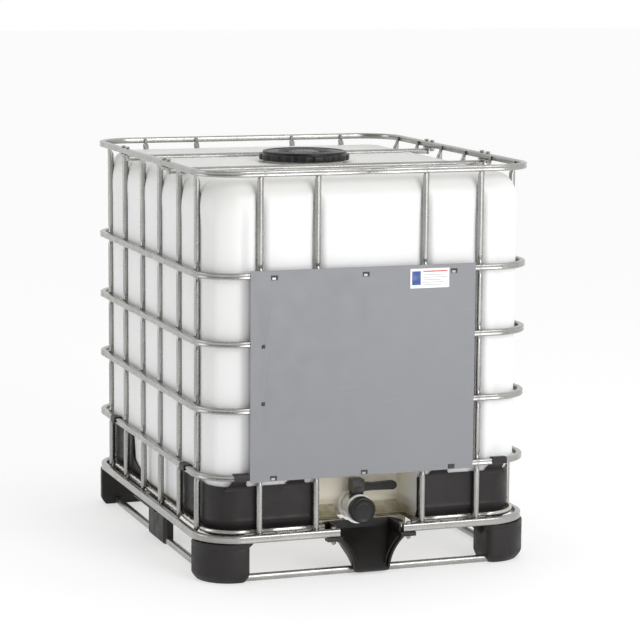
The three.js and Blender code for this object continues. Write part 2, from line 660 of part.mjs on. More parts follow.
// The outline at one height, set in from the widest face, as (x, y) pairs going round.
function bottleOutline(inset, wall) {
  const faceX = HALF_X - BOTTLE_SIDE_IN - inset - wall;
  const faceY = HALF_Y - BOTTLE_SIDE_IN - inset - wall;
  const radius = BOTTLE_RADIUS - inset - wall;
  const grooveX = HALF_X - CAGE_INSIDE - 2 * GAP - wall;
  const grooveY = HALF_Y - CAGE_INSIDE - 2 * GAP - wall;
  const flatX = faceX - radius;
  const flatY = faceY - radius;
  const outline = [];
  const corner = (signX, signY, start) => {
    for (let step = 1; step < CORNER_STEPS; step += 1) {
      const angle = start + (step / CORNER_STEPS) * (Math.PI / 2);
      outline.push([signX * flatX + radius * Math.cos(angle), signY * flatY + radius * Math.sin(angle)]);
    }
  };
  for (const [along, out] of groovedSide(UPRIGHTS_Y, flatY, faceX, grooveX)) outline.push([out, along]);
  corner(1, 1, 0);
  for (const [along, out] of groovedSide(UPRIGHTS_X, flatX, faceY, grooveY)) outline.push([-along, out]);
  corner(-1, 1, Math.PI / 2);
  for (const [along, out] of groovedSide(UPRIGHTS_Y, flatY, faceX, grooveX)) outline.push([-out, -along]);
  corner(-1, -1, Math.PI);
  for (const [along, out] of groovedSide(UPRIGHTS_X, flatX, faceY, grooveY)) outline.push([along, -out]);
  corner(1, -1, Math.PI * 1.5);
  return outline;
}

// Heights and insets that give the bottle its rounded foot and shoulder.
function bottleLevels(wall) {
  const foot = BOTTLE_FOOT_INSET;
  const levels = [
    [BOTTLE_BOTTOM + wall, foot + BOTTLE_FOOT_RADIUS],
    [BOTTLE_BOTTOM + FOOT_ROUND_UP * BOTTLE_FOOT_RADIUS, foot + FOOT_ROUND_IN * BOTTLE_FOOT_RADIUS],
    [BOTTLE_BOTTOM + BOTTLE_FOOT_RADIUS, foot],
    [BOTTLE_WIDENS[0], foot],
    [BOTTLE_WIDENS[1], 0],
  ];
  const shoulderStart = BOTTLE_TOP - SHOULDER_HEIGHT;
  const steps = 3;
  for (let step = 0; step <= steps; step += 1) {
    const angle = (step / steps) * (Math.PI / 2);
    const height = shoulderStart + SHOULDER_HEIGHT * Math.sin(angle);
    levels.push([step === steps ? BOTTLE_TOP - wall : height, SHOULDER_INSET * (1 - Math.cos(angle))]);
  }
  return levels;
}

// A closed solid through the outlines at all levels, capped flat at both ends.
function bottleForm(wall) {
  const levels = bottleLevels(wall);
  const positions = [];
  const indices = [];
  let count = 0;
  for (const [height, inset] of levels) {
    const outline = bottleOutline(inset, wall);
    count = outline.length;
    for (const [x, y] of outline) positions.push(x, y, height);
  }
  for (let level = 0; level + 1 < levels.length; level += 1) {
    for (let point = 0; point < count; point += 1) {
      const next = (point + 1) % count;
      const low = level * count;
      const high = low + count;
      indices.push(low + point, low + next, high + next);
      indices.push(low + point, high + next, high + point);
    }
  }
  const last = (levels.length - 1) * count;
  const bottomCentre = positions.length / 3;
  positions.push(0, 0, levels[0][0]);
  positions.push(0, 0, levels[levels.length - 1][0]);
  for (let point = 0; point < count; point += 1) {
    const next = (point + 1) % count;
    indices.push(bottomCentre, next, point);
    indices.push(bottomCentre + 1, last + point, last + next);
  }
  const geometry = new THREE.BufferGeometry();
  geometry.setAttribute("position", new THREE.Float32BufferAttribute(positions, 3));
  geometry.setIndex(indices);
  return toSolid(geometry);
}

// The space taken out of the bottle's front for the valve, grown by grow on every side.
function valveRecess(grow) {
  const half = RECESS_HALF_X + grow;
  const top = RECESS_TOP + grow;
  const shape = new THREE.Shape();
  shape.moveTo(-half, 0);
  shape.lineTo(half, 0);
  shape.lineTo(half, top - RECESS_ARC);
  shape.absarc(half - RECESS_ARC, top - RECESS_ARC, RECESS_ARC, 0, Math.PI / 2);
  shape.lineTo(-half + RECESS_ARC, top);
  shape.absarc(-half + RECESS_ARC, top - RECESS_ARC, RECESS_ARC, Math.PI / 2, Math.PI);
  return extrudeBack(shape, -HALF_Y, RECESS_BACK + grow);
}

function bottle() {
  const outer = bottleForm(0).subtract(valveRecess(0));
  const inner = bottleForm(BOTTLE_WALL).subtract(valveRecess(BOTTLE_WALL));
  const neckFoot = BOTTLE_TOP - 1;
  const neck = turnedUpright([
    [0, neckFoot],
    [NECK_RADIUS, neckFoot],
    [NECK_RADIUS, NECK_TOP],
    [0, NECK_TOP],
  ]);
  const boreFoot = BOTTLE_TOP - NECK_BORE_DEPTH;
  const boreTop = NECK_TOP + 1;
  const neckBore = turnedUpright([
    [0, boreFoot],
    [NECK_BORE, boreFoot],
    [NECK_BORE, boreTop],
    [0, boreTop],
  ]);
  const outletNeck = turnedAboutOutlet([
    [0, OUTLET_NECK_END],
    [OUTLET_NECK_RADIUS, OUTLET_NECK_END],
    [OUTLET_NECK_RADIUS, RECESS_BACK + 1],
    [0, RECESS_BACK + 1],
  ]);
  const outletBore = turnedAboutOutlet([
    [0, OUTLET_NECK_END - 1],
    [OUTLET_BORE, OUTLET_NECK_END - 1],
    [OUTLET_BORE, RECESS_BACK + OUTLET_BORE_DEPTH],
    [0, RECESS_BACK + OUTLET_BORE_DEPTH],
  ]);
  return outer.subtract(inner).add(neck).add(outletNeck).subtract(neckBore).subtract(outletBore);
}

// ---- filling lid ----
function fillLid() {
  const skirtBore = NECK_RADIUS + 1;
  return turnedUpright([
    [0, LID_UNDERSIDE],
    [skirtBore, LID_UNDERSIDE],
    [skirtBore, LID_BOTTOM],
    [LID_RADIUS, LID_BOTTOM],
    [LID_RADIUS, LID_STEP],
    [LID_DISC_RADIUS, LID_STEP],
    [LID_DISC_RADIUS, CAGE_TOP],
    [0, CAGE_TOP],
  ]);
}

function lidSeal() {
  const bottom = NECK_TOP + GAP;
  const top = LID_UNDERSIDE - GAP;
  return turnedUpright([
    [NECK_BORE, bottom],
    [NECK_RADIUS, bottom],
    [NECK_RADIUS, top],
    [NECK_BORE, top],
    [NECK_BORE, bottom],
  ]);
}

// ---- outlet valve ----
const THREAD_RADIUS = 31;
const OUTLET_END = -518;
const FLANGE_Y = [-499, -490]; // a collar just behind the cap, low enough for the lever to pass over
const FLANGE_RADIUS = 42;
const BODY_RADIUS = 34; // round the stem
const BODY_TAPER_Y = [-440, -437]; // it narrows here to pass through the union nut
const STEM_FACETS = 14;
const TOWER_FACETS = 20;
const TOWER_ROOT = 4; // the tower starts this far outside the bore
const STEM_BORE_FOOT = 10; // the stem's bore starts this far above the outlet's axis

function valveBody() {
  const rear = OUTLET_NECK_END - 0.4;
  const body = turnedAboutOutlet([
    [OUTLET_BORE, rear],
    [OUTLET_BORE, OUTLET_END],
    [THREAD_RADIUS, OUTLET_END],
    [THREAD_RADIUS, FLANGE_Y[0]],
    [FLANGE_RADIUS, FLANGE_Y[0]],
    [FLANGE_RADIUS, FLANGE_Y[1]],
    [BODY_RADIUS, FLANGE_Y[1]],
    [BODY_RADIUS, BODY_TAPER_Y[0]],
    [OUTLET_NECK_RADIUS, BODY_TAPER_Y[1]],
    [OUTLET_NECK_RADIUS, rear],
    [OUTLET_BORE, rear],
  ]);
  const tower = post(0, STEM_Y, [VALVE_Z + OUTLET_BORE + TOWER_ROOT, TOWER_TOP], TOWER_RADIUS, TOWER_FACETS);
  const stemBore = post(0, STEM_Y, [VALVE_Z + STEM_BORE_FOOT, TOWER_TOP + 1], STEM_RADIUS + 0.5, STEM_FACETS);
  return body.add(tower).subtract(stemBore);
}

function unionNut() {
  const bore = OUTLET_NECK_RADIUS + 0.8;
  return turnedAboutOutlet([
    [bore, UNION_NUT_Y[1]],
    [bore, UNION_NUT_Y[0]],
    [UNION_NUT_RADIUS, UNION_NUT_Y[0]],
    [UNION_NUT_RADIUS, UNION_NUT_Y[1]],
    [bore, UNION_NUT_Y[1]],
  ]);
}

// The butterfly disc and its stem are one piece that turns in the body.
function valveDisc() {
  const radius = OUTLET_BORE - 0.6;
  const geometry = new THREE.CylinderGeometry(radius, radius, DISC_THICKNESS, VALVE_FACETS);
  geometry.translate(0, STEM_Y, VALVE_Z);
  const stemHeights = [VALVE_Z - radius + DISC_THICKNESS, HUB_TOP - HUB_ROOF - 1];
  const stem = post(0, STEM_Y, stemHeights, STEM_RADIUS, STEM_FACETS);
  return toSolid(geometry).add(stem);
}

function valveLever() {
  const middle = (LEVER_HEIGHTS[0] + LEVER_HEIGHTS[1]) / 2;
  const tipRadius = middle - LEVER_HEIGHTS[0];
  const barLength = LEVER_REACH - tipRadius;
  const shape = new THREE.Shape();
  shape.moveTo(0, LEVER_HEIGHTS[0]);
  shape.lineTo(barLength, LEVER_HEIGHTS[0]);
  shape.absarc(barLength, middle, tipRadius, -Math.PI / 2, Math.PI / 2);
  shape.lineTo(0, LEVER_HEIGHTS[1]);
  const bar = extrudeBack(shape, STEM_Y - LEVER_HALF_THICKNESS, STEM_Y + LEVER_HALF_THICKNESS);
  const hub = post(0, STEM_Y, [TOWER_TOP + GAP, HUB_TOP], HUB_RADIUS, TOWER_FACETS);
  const socket = post(0, STEM_Y, [TOWER_TOP - 1, HUB_TOP - HUB_ROOF], STEM_RADIUS + 0.4, STEM_FACETS);
  return bar.add(hub).subtract(socket);
}

function outletCap() {
  const bore = THREAD_RADIUS + 0.7;
  const inside = CAP_FACE + CAP_THICKNESS;
  return turnedAboutOutlet([
    [0, inside],
    [bore, inside],
    [bore, CAP_OPEN_END],
    [CAP_RADIUS, CAP_OPEN_END],
    [CAP_RADIUS, CAP_FACE + CAP_EDGE],
    [CAP_RADIUS - CAP_EDGE, CAP_FACE],
    [0, CAP_FACE],
  ]);
}

function capSeal() {
  const rear = OUTLET_END - GAP;
  const front = CAP_FACE + CAP_THICKNESS + GAP;
  return turnedAboutOutlet([
    [OUTLET_BORE, rear],
    [OUTLET_BORE, front],
    [THREAD_RADIUS, front],
    [THREAD_RADIUS, rear],
    [OUTLET_BORE, rear],
  ]);
}

// ---- assembly ----
cageRings();
uprights();
topBars();
addPiece("front_plate", frontPlate(), plateGrey());
addPiece("pallet_ring", palletRing(), steel());
addPiece("skid_ring", skidRing(), steel());
addPiece("bottom_pan", bottomPan(), steel());
addPiece("support_beam_left", supportBeam(-BEAM_X), steel());
addPiece("support_beam_right", supportBeam(BEAM_X), steel());
for (const [place, sideX, sideY] of [
  ["front_left", -1, -1],
  ["front_right", 1, -1],
  ["rear_left", -1, 1],
  ["rear_right", 1, 1],
]) {
  addPiece(`${place}_foot`, cornerFoot(sideX, sideY), blackPlastic());
  addPiece(`${place}_protector`, cornerProtector(sideX, sideY), blackPlastic());
}
addPiece("left_mid_foot", midFoot(0, HALF_X, SKID_HALF_X), blackPlastic());
addPiece("right_mid_foot", midFoot(180, HALF_X, SKID_HALF_X), blackPlastic());
addPiece("rear_mid_foot", midFoot(-90, HALF_Y, SKID_HALF_Y), blackPlastic());
addPiece("valve_guard", valveGuard(), blackPlastic());
addPiece("guard_bolt_left", guardBolt(-GUARD_BOLT_X), steel());
addPiece("guard_bolt_right", guardBolt(GUARD_BOLT_X), steel());
addPiece("bottle", bottle(), bottleWhite());
addPiece("fill_lid", fillLid(), blackPlastic());
addPiece("lid_seal", lidSeal(), sealRubber());
addPiece("valve_body", valveBody(), valveWhite());
addPiece("valve_union_nut", unionNut(), valveWhite());
addPiece("valve_disc", valveDisc(), valveWhite());
addPiece("valve_lever", valveLever(), blackPlastic());
addPiece("outlet_cap", outletCap(), blackPlastic());
addPiece("outlet_cap_seal", capSeal(), sealRubber());

export default container;
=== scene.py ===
# Intermediate bulk container: the looks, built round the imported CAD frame.
# Lengths in this file are millimetres unless a name says metres; pieces are scaled as they are made.
import json
import math
import random

import bmesh
import bpy
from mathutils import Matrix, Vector


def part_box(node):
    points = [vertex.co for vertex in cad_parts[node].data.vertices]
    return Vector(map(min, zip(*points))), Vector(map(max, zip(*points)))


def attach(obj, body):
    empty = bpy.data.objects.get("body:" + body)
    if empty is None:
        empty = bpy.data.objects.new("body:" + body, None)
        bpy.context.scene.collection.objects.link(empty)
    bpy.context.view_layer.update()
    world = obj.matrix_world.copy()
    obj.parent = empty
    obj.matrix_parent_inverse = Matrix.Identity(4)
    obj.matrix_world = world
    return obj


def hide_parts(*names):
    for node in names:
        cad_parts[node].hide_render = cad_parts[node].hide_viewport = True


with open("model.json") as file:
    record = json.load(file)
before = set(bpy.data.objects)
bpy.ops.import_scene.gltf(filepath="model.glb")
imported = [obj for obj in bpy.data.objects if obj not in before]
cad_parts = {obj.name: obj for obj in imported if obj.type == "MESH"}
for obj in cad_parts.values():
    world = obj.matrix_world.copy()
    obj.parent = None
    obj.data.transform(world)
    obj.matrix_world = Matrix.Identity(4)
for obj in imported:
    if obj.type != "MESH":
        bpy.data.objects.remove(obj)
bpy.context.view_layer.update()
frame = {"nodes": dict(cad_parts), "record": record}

MM = 0.001
BODY = "container"
TAU = 2 * math.pi

# ---- places and sizes, from the frame ----


def span(node):
    """Lowest and highest corner of a CAD node, in millimetres."""
    low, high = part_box(node)
    return low / MM, high / MM


def middle(node):
    low, high = span(node)
    return (low + high) / 2


RINGS = [f"cage_ring_{number}" for number in range(1, 6)]
RING_LEVELS = [middle(ring).z for ring in RINGS]
HALF_X = span("cage_ring_1")[1].x
HALF_Y = span("cage_ring_1")[1].y
TUBE = span("cage_ring_1")[1].z - span("cage_ring_1")[0].z
CORNER_RADIUS = 125
UPRIGHTS = {
    "front": [f"front_upright_{number}" for number in range(1, 5)],
    "rear": [f"rear_upright_{number}" for number in range(1, 5)],
    "left": [f"left_upright_{number}" for number in range(1, 7)],
    "right": [f"right_upright_{number}" for number in range(1, 7)],
}
UPRIGHTS_X = [middle(node).x for node in UPRIGHTS["front"]]
UPRIGHTS_Y = [middle(node).y for node in UPRIGHTS["left"]]
OUTWARD = {
    "front": Vector((0, -1, 0)),
    "rear": Vector((0, 1, 0)),
    "left": Vector((-1, 0, 0)),
    "right": Vector((1, 0, 0)),
}


# ---- small mathematics ----


def mix(a, b, t):
    return a + (b - a) * t


def smooth(t):
    """0 below 0, 1 above 1, and an S curve between."""
    t = min(max(t, 0.0), 1.0)
    return t * t * (3 - 2 * t)


def bump(distance, width):
    """1 at no distance, falling smoothly to 0 at the width."""
    return 1 - smooth(abs(distance) / width)


# ---- materials ----

EVEN = (1, 1, 1)  # noise that is stretched along no axis


class Finish:
    """A procedural material: the shader, object coordinates in metres, and nodes added one by one."""

    def __init__(self, name, colour, roughness, metallic=0.0):
        self.material = bpy.data.materials.new(name)
        self.material.use_nodes = True
        self.nodes = self.material.node_tree.nodes
        self.links = self.material.node_tree.links
        self.shader = self.nodes["Principled BSDF"]
        self.shader.inputs["Base Color"].default_value = (*colour, 1)
        self.shader.inputs["Roughness"].default_value = roughness
        self.shader.inputs["Metallic"].default_value = metallic
        self.place = self.nodes.new("ShaderNodeTexCoord").outputs["Object"]

    def stretched(self, scale):
        mapping = self.nodes.new("ShaderNodeMapping")
        mapping.inputs["Scale"].default_value = scale
        self.links.new(self.place, mapping.inputs["Vector"])
        return mapping.outputs["Vector"]

    def noise(self, scale, stretch=(1, 1, 1), detail=4.0, roughness=0.55):
        node = self.nodes.new("ShaderNodeTexNoise")
        node.inputs["Scale"].default_value = scale
        node.inputs["Detail"].default_value = detail
        node.inputs["Roughness"].default_value = roughness
        self.links.new(self.stretched(stretch), node.inputs["Vector"])
        return node.outputs["Fac"]

    def cells(self, scale):
        node = self.nodes.new("ShaderNodeTexVoronoi")
        node.inputs["Scale"].default_value = scale
        self.links.new(self.place, node.inputs["Vector"])
        grey = self.nodes.new("ShaderNodeRGBToBW")
        self.links.new(node.outputs["Color"], grey.inputs["Color"])
        return grey.outputs["Val"]

    def remap(self, value, low, high, to_low=0.0, to_high=1.0):
        node = self.nodes.new("ShaderNodeMapRange")
        node.clamp = True
        limits = ("From Min", low), ("From Max", high), ("To Min", to_low), ("To Max", to_high)
        for socket, number in limits:
            node.inputs[socket].default_value = number
        self.links.new(value, node.inputs["Value"])
        return node.outputs["Result"]

    def axis(self, letter):
        node = self.nodes.new("ShaderNodeSeparateXYZ")
        self.links.new(self.place, node.inputs["Vector"])
        return node.outputs[letter]

    def times(self, a, b):
        node = self.nodes.new("ShaderNodeMath")
        node.operation = "MULTIPLY"
        self.links.new(a, node.inputs[0])
        self.links.new(b, node.inputs[1])
        return node.outputs["Value"]

    def worn_edges(self, low=0.51, high=0.58):
        node = self.nodes.new("ShaderNodeNewGeometry")
        return self.remap(node.outputs["Pointiness"], low, high)

    def tint(self, amount, colour):
        """Paints a colour over what the base colour is so far, where the amount says."""
        base = self.shader.inputs["Base Color"]
        node = self.nodes.new("ShaderNodeMix")
        node.data_type = "RGBA"
        node.inputs["A"].default_value = base.default_value
        if base.is_linked:
            self.links.new(base.links[0].from_socket, node.inputs["A"])
        node.inputs["B"].default_value = (*colour, 1)
        self.links.new(amount, node.inputs["Factor"])
        self.links.new(node.outputs["Result"], base)

    def patches(self, scale, stretch, low, high, amount, colour, detail=4.0):
        """Tints cloudy patches, stronger as the noise goes from low to high."""
        self.tint(self.remap(self.noise(scale, stretch, detail), low, high, 0.0, amount), colour)

    def uneven_gloss(self, scale, low, high):
        self.rough(self.remap(self.noise(scale), 0.3, 0.7, low, high))

    def rough(self, value):
        self.links.new(value, self.shader.inputs["Roughness"])

    def relief(self, height, distance, strength=0.5):
        """Adds fine relief on top of any there is. The distance is in metres."""
        node = self.nodes.new("ShaderNodeBump")
        node.inputs["Strength"].default_value = strength
        node.inputs["Distance"].default_value = distance
        normal = self.shader.inputs["Normal"]
        if normal.is_linked:
            self.links.new(normal.links[0].from_socket, node.inputs["Normal"])
        self.links.new(height, node.inputs["Height"])
        self.links.new(node.outputs["Normal"], normal)


def galvanised(name, colour, dark, light, roughness):
    """Zinc-coated steel: mottled patches, drawn streaks and a fine crystalline spangle."""
    finish = Finish(name, colour, roughness, metallic=0.95)
    finish.patches(7, EVEN, 0.42, 0.7, 0.5, dark, 3)
    finish.patches(16, (1, 1, 0.3), 0.5, 0.74, 0.4, light, 3)
    finish.tint(finish.remap(finish.cells(300), 0.5, 1.0, 0.0, 0.14), dark)
    finish.uneven_gloss(60, roughness - 0.07, roughness + 0.1)
    finish.relief(finish.noise(150, detail=2), 0.0003, 0.05)
    return finish.material


def moulded_black(name, colour, scuff, roughness):
    """Black moulded polyethylene: fine grain, faint flow marks, and paler scuffs on its edges."""
    finish = Finish(name, colour, roughness)
    finish.shader.inputs["Specular IOR Level"].default_value = 0.3
    finish.patches(5, (1, 1, 0.4), 0.45, 0.75, 0.3, scuff)
    finish.tint(finish.worn_edges(0.53, 0.62), scuff)
    finish.uneven_gloss(30, roughness - 0.1, roughness + 0.12)
    finish.relief(finish.noise(900, detail=2), 0.00025, 0.35)
    finish.relief(finish.noise(14), 0.0012, 0.12)
    return finish.material


def bottle_plastic():
    """Milky blow-moulded polyethylene: cloudy thickness, painted shade that warms the recess and the foot and
    greys the shoulder, and olive-brown streaks low in the recess.
    """
    low = span("bottle")[0]
    finish = Finish("bottle_polyethylene", (0.8, 0.803, 0.806), 0.34)
    finish.shader.inputs["Subsurface Weight"].default_value = 0.12
    finish.shader.inputs["Subsurface Radius"].default_value = (0.02, 0.018, 0.015)
    finish.patches(3.2, (1, 1, 0.35), 0.45, 0.75, 0.5, (0.75, 0.742, 0.715))
    height = finish.axis("Z")
    depth = finish.remap(finish.axis("Y"), low.y * MM + 0.02, low.y * MM + 0.13)
    below_plate = finish.remap(height, 0.36, 0.3)
    middle_x = finish.remap(finish.axis("X"), 0.17, 0.15)
    middle_left = finish.remap(finish.axis("X"), -0.17, -0.15)
    front_half = finish.remap(finish.axis("Y"), -0.36, -0.39)
    recess = finish.times(finish.times(below_plate, depth), finish.times(middle_x, middle_left))
    recess = finish.times(recess, front_half)
    # Painted shade: the valve recess under the plate is tinted a warm beige.
    finish.tint(finish.remap(recess, 0.0, 1.0, 0.0, 0.8), (0.84, 0.79, 0.64))
    # Darker olive-brown streaks low in the recess.
    low_in_recess = finish.times(finish.remap(height, 0.195, 0.16), finish.remap(recess, 0.0, 0.6))
    streaks = finish.remap(finish.noise(11, (0.5, 1, 4)), 0.36, 0.6, 0.35, 0.95)
    finish.tint(finish.times(low_in_recess, streaks), (0.3, 0.25, 0.13))
    # Painted shade: the bottle darkens to a warm grey-brown towards its foot.
    foot = finish.remap(height, 0.19, low.z * MM, 0.0, 0.45)
    finish.tint(foot, (0.5, 0.46, 0.37))
    # Painted shade: greyer towards the top, over the shoulder.
    edge = finish.remap(height, 1.03, 1.115, 0.0, 0.45)
    finish.tint(edge, (0.72, 0.715, 0.66))
    finish.uneven_gloss(12, 0.3, 0.46)
    finish.relief(finish.noise(7, (1, 1, 0.3)), 0.004, 0.12)
    finish.relief(finish.noise(160, detail=2), 0.0004, 0.12)
    return finish.material


def olive_streaked_plastic():
    """The recess's floor: olive-brown, with darker streaks and paler flecks."""
    finish = Finish("olive_streaked_polyethylene", (0.5, 0.46, 0.35), 0.5)
    finish.patches(14, (0.4, 1, 3), 0.34, 0.66, 0.85, (0.17, 0.145, 0.075))
    finish.patches(46, (1, 0.4, 1), 0.5, 0.75, 0.6, (0.66, 0.63, 0.52))
    finish.uneven_gloss(30, 0.35, 0.6)
    finish.relief(finish.noise(60, (1, 0.5, 1)), 0.001, 0.2)
    return finish.material


def plate_paint():
    """Satin grey paint over steel sheet, slightly orange-peeled, with faint rub marks."""
    finish = Finish("plate_grey_paint", (0.225, 0.23, 0.245), 0.5, metallic=0.1)
    finish.patches(2.2, (1, 1, 0.6), 0.4, 0.7, 0.3, (0.26, 0.265, 0.278))
    finish.patches(40, (0.2, 1, 3), 0.62, 0.78, 0.3, (0.31, 0.315, 0.325))
    finish.uneven_gloss(20, 0.38, 0.55)
    finish.relief(finish.noise(260, detail=2), 0.0003, 0.3)
    finish.relief(finish.noise(4), 0.003, 0.1)
    return finish.material


def valve_plastic():
    """Off-white moulded plastic with a little grime in it."""
    finish = Finish("valve_polyethylene", (0.9, 0.89, 0.86), 0.34)
    finish.patches(22, EVEN, 0.55, 0.8, 0.35, (0.6, 0.55, 0.45))
    finish.uneven_gloss(45, 0.32, 0.5)
    finish.relief(finish.noise(500, detail=2), 0.0003, 0.3)
    return finish.material


def seal_rubber():
    finish = Finish("gasket_rubber", (0.035, 0.035, 0.035), 0.8)
    finish.patches(60, EVEN, 0.5, 0.75, 0.5, (0.07, 0.068, 0.065))
    finish.relief(finish.noise(700, detail=2), 0.0003, 0.4)
    return finish.material


def floor_paper():
    finish = Finish("studio_floor", (0.5, 0.5, 0.5), 0.85)
    finish.shader.inputs["Emission Color"].default_value = (1, 1, 1, 1)
    finish.shader.inputs["Emission Strength"].default_value = 0.52
    finish.relief(finish.noise(180, detail=2), 0.0002, 0.1)
    return finish.material


def label_colour(name, colour):
    """Printed paper with slight fading."""
    finish = Finish(name, colour, 0.5)
    faded = tuple(mix(part, 0.9, 0.3) for part in colour)
    finish.patches(60, EVEN, 0.45, 0.75, 0.5, faded)
    finish.relief(finish.noise(300, detail=2), 0.0001, 0.2)
    return finish.material


STEEL = galvanised("galvanised_tube", (0.4, 0.396, 0.38), (0.24, 0.236, 0.222), (0.54, 0.536, 0.52), 0.28)
SHEET_STEEL = galvanised(
    "galvanised_sheet", (0.56, 0.555, 0.54), (0.34, 0.33, 0.31), (0.7, 0.695, 0.68), 0.25
)
# The bottom pan's sheet: a dark olive-brown galvanised steel, darker than the tubes.
PAN_STEEL = galvanised("dark_olive_pan_sheet", (0.2, 0.182, 0.125), (0.1, 0.086, 0.05), (0.32, 0.3, 0.22), 0.6)
BLACK = moulded_black("black_polyethylene", (0.017, 0.0145, 0.0142), (0.05, 0.046, 0.045), 0.5)
LID_BLACK = moulded_black("lid_polyethylene", (0.01, 0.009, 0.009), (0.08, 0.074, 0.072), 0.38)
GUARD_BLACK = moulded_black("guard_polyethylene", (0.009, 0.0078, 0.0074), (0.05, 0.044, 0.042), 0.44)
BOTTLE = bottle_plastic()
OLIVE_STREAKED = olive_streaked_plastic()
PLATE = plate_paint()
VALVE = valve_plastic()
SEAL = seal_rubber()


# ---- making pieces ----

BOX_FACES = [(0, 1, 3, 2), (4, 6, 7, 5), (0, 4, 5, 1), (2, 3, 7, 6), (0, 2, 6, 4), (1, 5, 7, 3)]


def add_piece(name, vertices, faces, material, replaced=(), body=BODY, sharp_degrees=35):
    """A mesh from points in millimetres, smooth but for edges sharper than the angle."""
    mesh = bpy.data.meshes.new(name)
    mesh.from_pydata([Vector(point) * MM for point in vertices], [], faces)
    return finish_piece(name, mesh, material, replaced, body, sharp_degrees)


def finish_piece(name, mesh, material, replaced, body, sharp_degrees):
    tidy = bmesh.new()
    tidy.from_mesh(mesh)
    bmesh.ops.remove_doubles(tidy, verts=tidy.verts, dist=1e-6)
    bmesh.ops.dissolve_degenerate(tidy, edges=tidy.edges, dist=1e-7)
    bmesh.ops.recalc_face_normals(tidy, faces=tidy.faces)
    tidy.to_mesh(mesh)
    tidy.free()
    mesh.materials.clear()
    mesh.materials.append(material)
    mesh.shade_smooth()
    mesh.set_sharp_from_angle(angle=math.radians(sharp_degrees))
    piece = bpy.data.objects.new(name, mesh)
    bpy.context.scene.collection.objects.link(piece)
    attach(piece, body)
    if replaced:
        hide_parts(*replaced)
    return piece


def apply_modifiers(piece):
    """Bakes the piece's modifiers into its own mesh."""
    graph = bpy.context.evaluated_depsgraph_get()
    made = bpy.data.meshes.new_from_object(piece.evaluated_get(graph))
    piece.modifiers.clear()
    piece.data = made


def softened(node, material, body=BODY, radius=1.2, segments=2):
    """A copy of a CAD node with its edges rounded, which stands for the node."""
    mesh = frame["nodes"][node].data.copy()
    piece = finish_piece(f"{node}_detail", mesh, material, (node,), body, 35)
    flat = bmesh.new()
    flat.from_mesh(piece.data)
    bmesh.ops.dissolve_limit(flat, angle_limit=math.radians(1), verts=flat.verts, edges=flat.edges)
    flat.to_mesh(piece.data)
    flat.free()
    return rounded_edges(piece, radius, segments)


def rounded_edges(piece, radius=1.2, segments=2):
    """Rounds every edge of a piece that is sharper than a slight bend."""
    bevel = piece.modifiers.new("edge", "BEVEL")
    bevel.width = radius * MM
    bevel.segments = segments
    bevel.limit_method = "ANGLE"
    bevel.angle_limit = math.radians(28)
    bevel.use_clamp_overlap = True
    bevel.harden_normals = True
    apply_modifiers(piece)
    return piece


def grid_faces(rows, columns, close_rows=False):
    """Quads between rows of points that each close on themselves."""
    faces = []
    for row in range(rows if close_rows else rows - 1):
        above = (row + 1) % rows
        for column in range(columns):
            beside = (column + 1) % columns
            low, high = row * columns, above * columns
            faces.append((low + column, low + beside, high + beside, high + column))
    return faces


def capped(rows, columns):
    """Grid faces with a face across the first and the last row."""
    first = tuple(reversed(range(columns)))
    last = tuple(range((rows - 1) * columns, rows * columns))
    return [*grid_faces(rows, columns), first, last]


def turned_about_outlet(profile, steps, flute=None):
    """(points, faces) of a closed profile of (radius, y) turned about the outlet's axis."""
    points = []
    for step in range(steps):
        angle = TAU * step / steps
        for radius, y in profile:
            reach = flute(angle, radius) if flute else radius
            points.append(Vector((reach * math.cos(angle), y, VALVE_Z + reach * math.sin(angle))))
    return points, grid_faces(steps, len(profile), close_rows=True)


def bar_along(line, half_wide, half_deep, facing, steps=10):
    """(points, faces) of a rounded bar along a line of points. facing is the way of its depth."""
    line = [Vector(point) for point in line]
    points = []
    for index, point in enumerate(line):
        onwards = (line[min(index + 1, len(line) - 1)] - line[max(index - 1, 0)]).normalized()
        across = onwards.cross(facing).normalized()
        for step in range(steps):
            angle = TAU * step / steps
            points.append(point + across * half_wide * math.cos(angle) + facing * half_deep * math.sin(angle))
    return points, capped(len(line), steps)


def box_part(low, high):
    corners = [(x, y, z) for x in (low[0], high[0]) for y in (low[1], high[1]) for z in (low[2], high[2])]
    return corners, BOX_FACES


def merged(name, parts, material, replaced=(), body=BODY, sharp=35):
    """One piece from several (points, faces) pairs."""
    points, faces = [], []
    for part_points, part_faces in parts:
        start = len(points)
        points += list(part_points)
        faces += [tuple(index + start for index in face) for face in part_faces]
    return add_piece(name, points, faces, material, replaced, body, sharp)


# ---- the path round the cage ----


def loop_path(half_x, half_y, radius, corner_steps=14, extra=None):
    """Points and outward directions round a rounded rectangle. extra adds places along each side."""
    extra = extra or {}
    flat_x, flat_y = half_x - radius, half_y - radius
    corners = [(flat_x, flat_y, 0), (-flat_x, flat_y, 1), (-flat_x, -flat_y, 2), (flat_x, -flat_y, 3)]
    sides = ["rear", "left", "front", "right"]
    path = []
    for (x, y, quarter), side in zip(corners, sides):
        for step in range(corner_steps + 1):
            angle = (quarter + step / corner_steps) * math.pi / 2
            normal = Vector((math.cos(angle), math.sin(angle), 0))
            path.append((Vector((x, y, 0)) + normal * radius, normal))
        outward = OUTWARD[side]
        travel = sideways(outward)
        face = half_y if side in ("front", "rear") else half_x
        places = sorted(extra.get(side, []), key=lambda place: place * (travel.x + travel.y))
        onwards = Vector((abs(travel.x), abs(travel.y), 0))
        path += [(outward * face + onwards * place, outward) for place in places]
    return path


def tube_section(half_wide, half_high, power=3.6, steps=28, groove=0.0):
    """Section of a squarish tube as (outward, up), with a shallow groove along its outer face."""
    section = []
    for step in range(steps):
        angle = TAU * step / steps
        c, s = math.cos(angle), math.sin(angle)
        out = half_wide * math.copysign(abs(c) ** (2 / power), c)
        up = half_high * math.copysign(abs(s) ** (2 / power), s)
        if out > 0:
            out -= groove * math.exp(-((up / (half_high * 0.3)) ** 2))
        section.append((out, up))
    return section


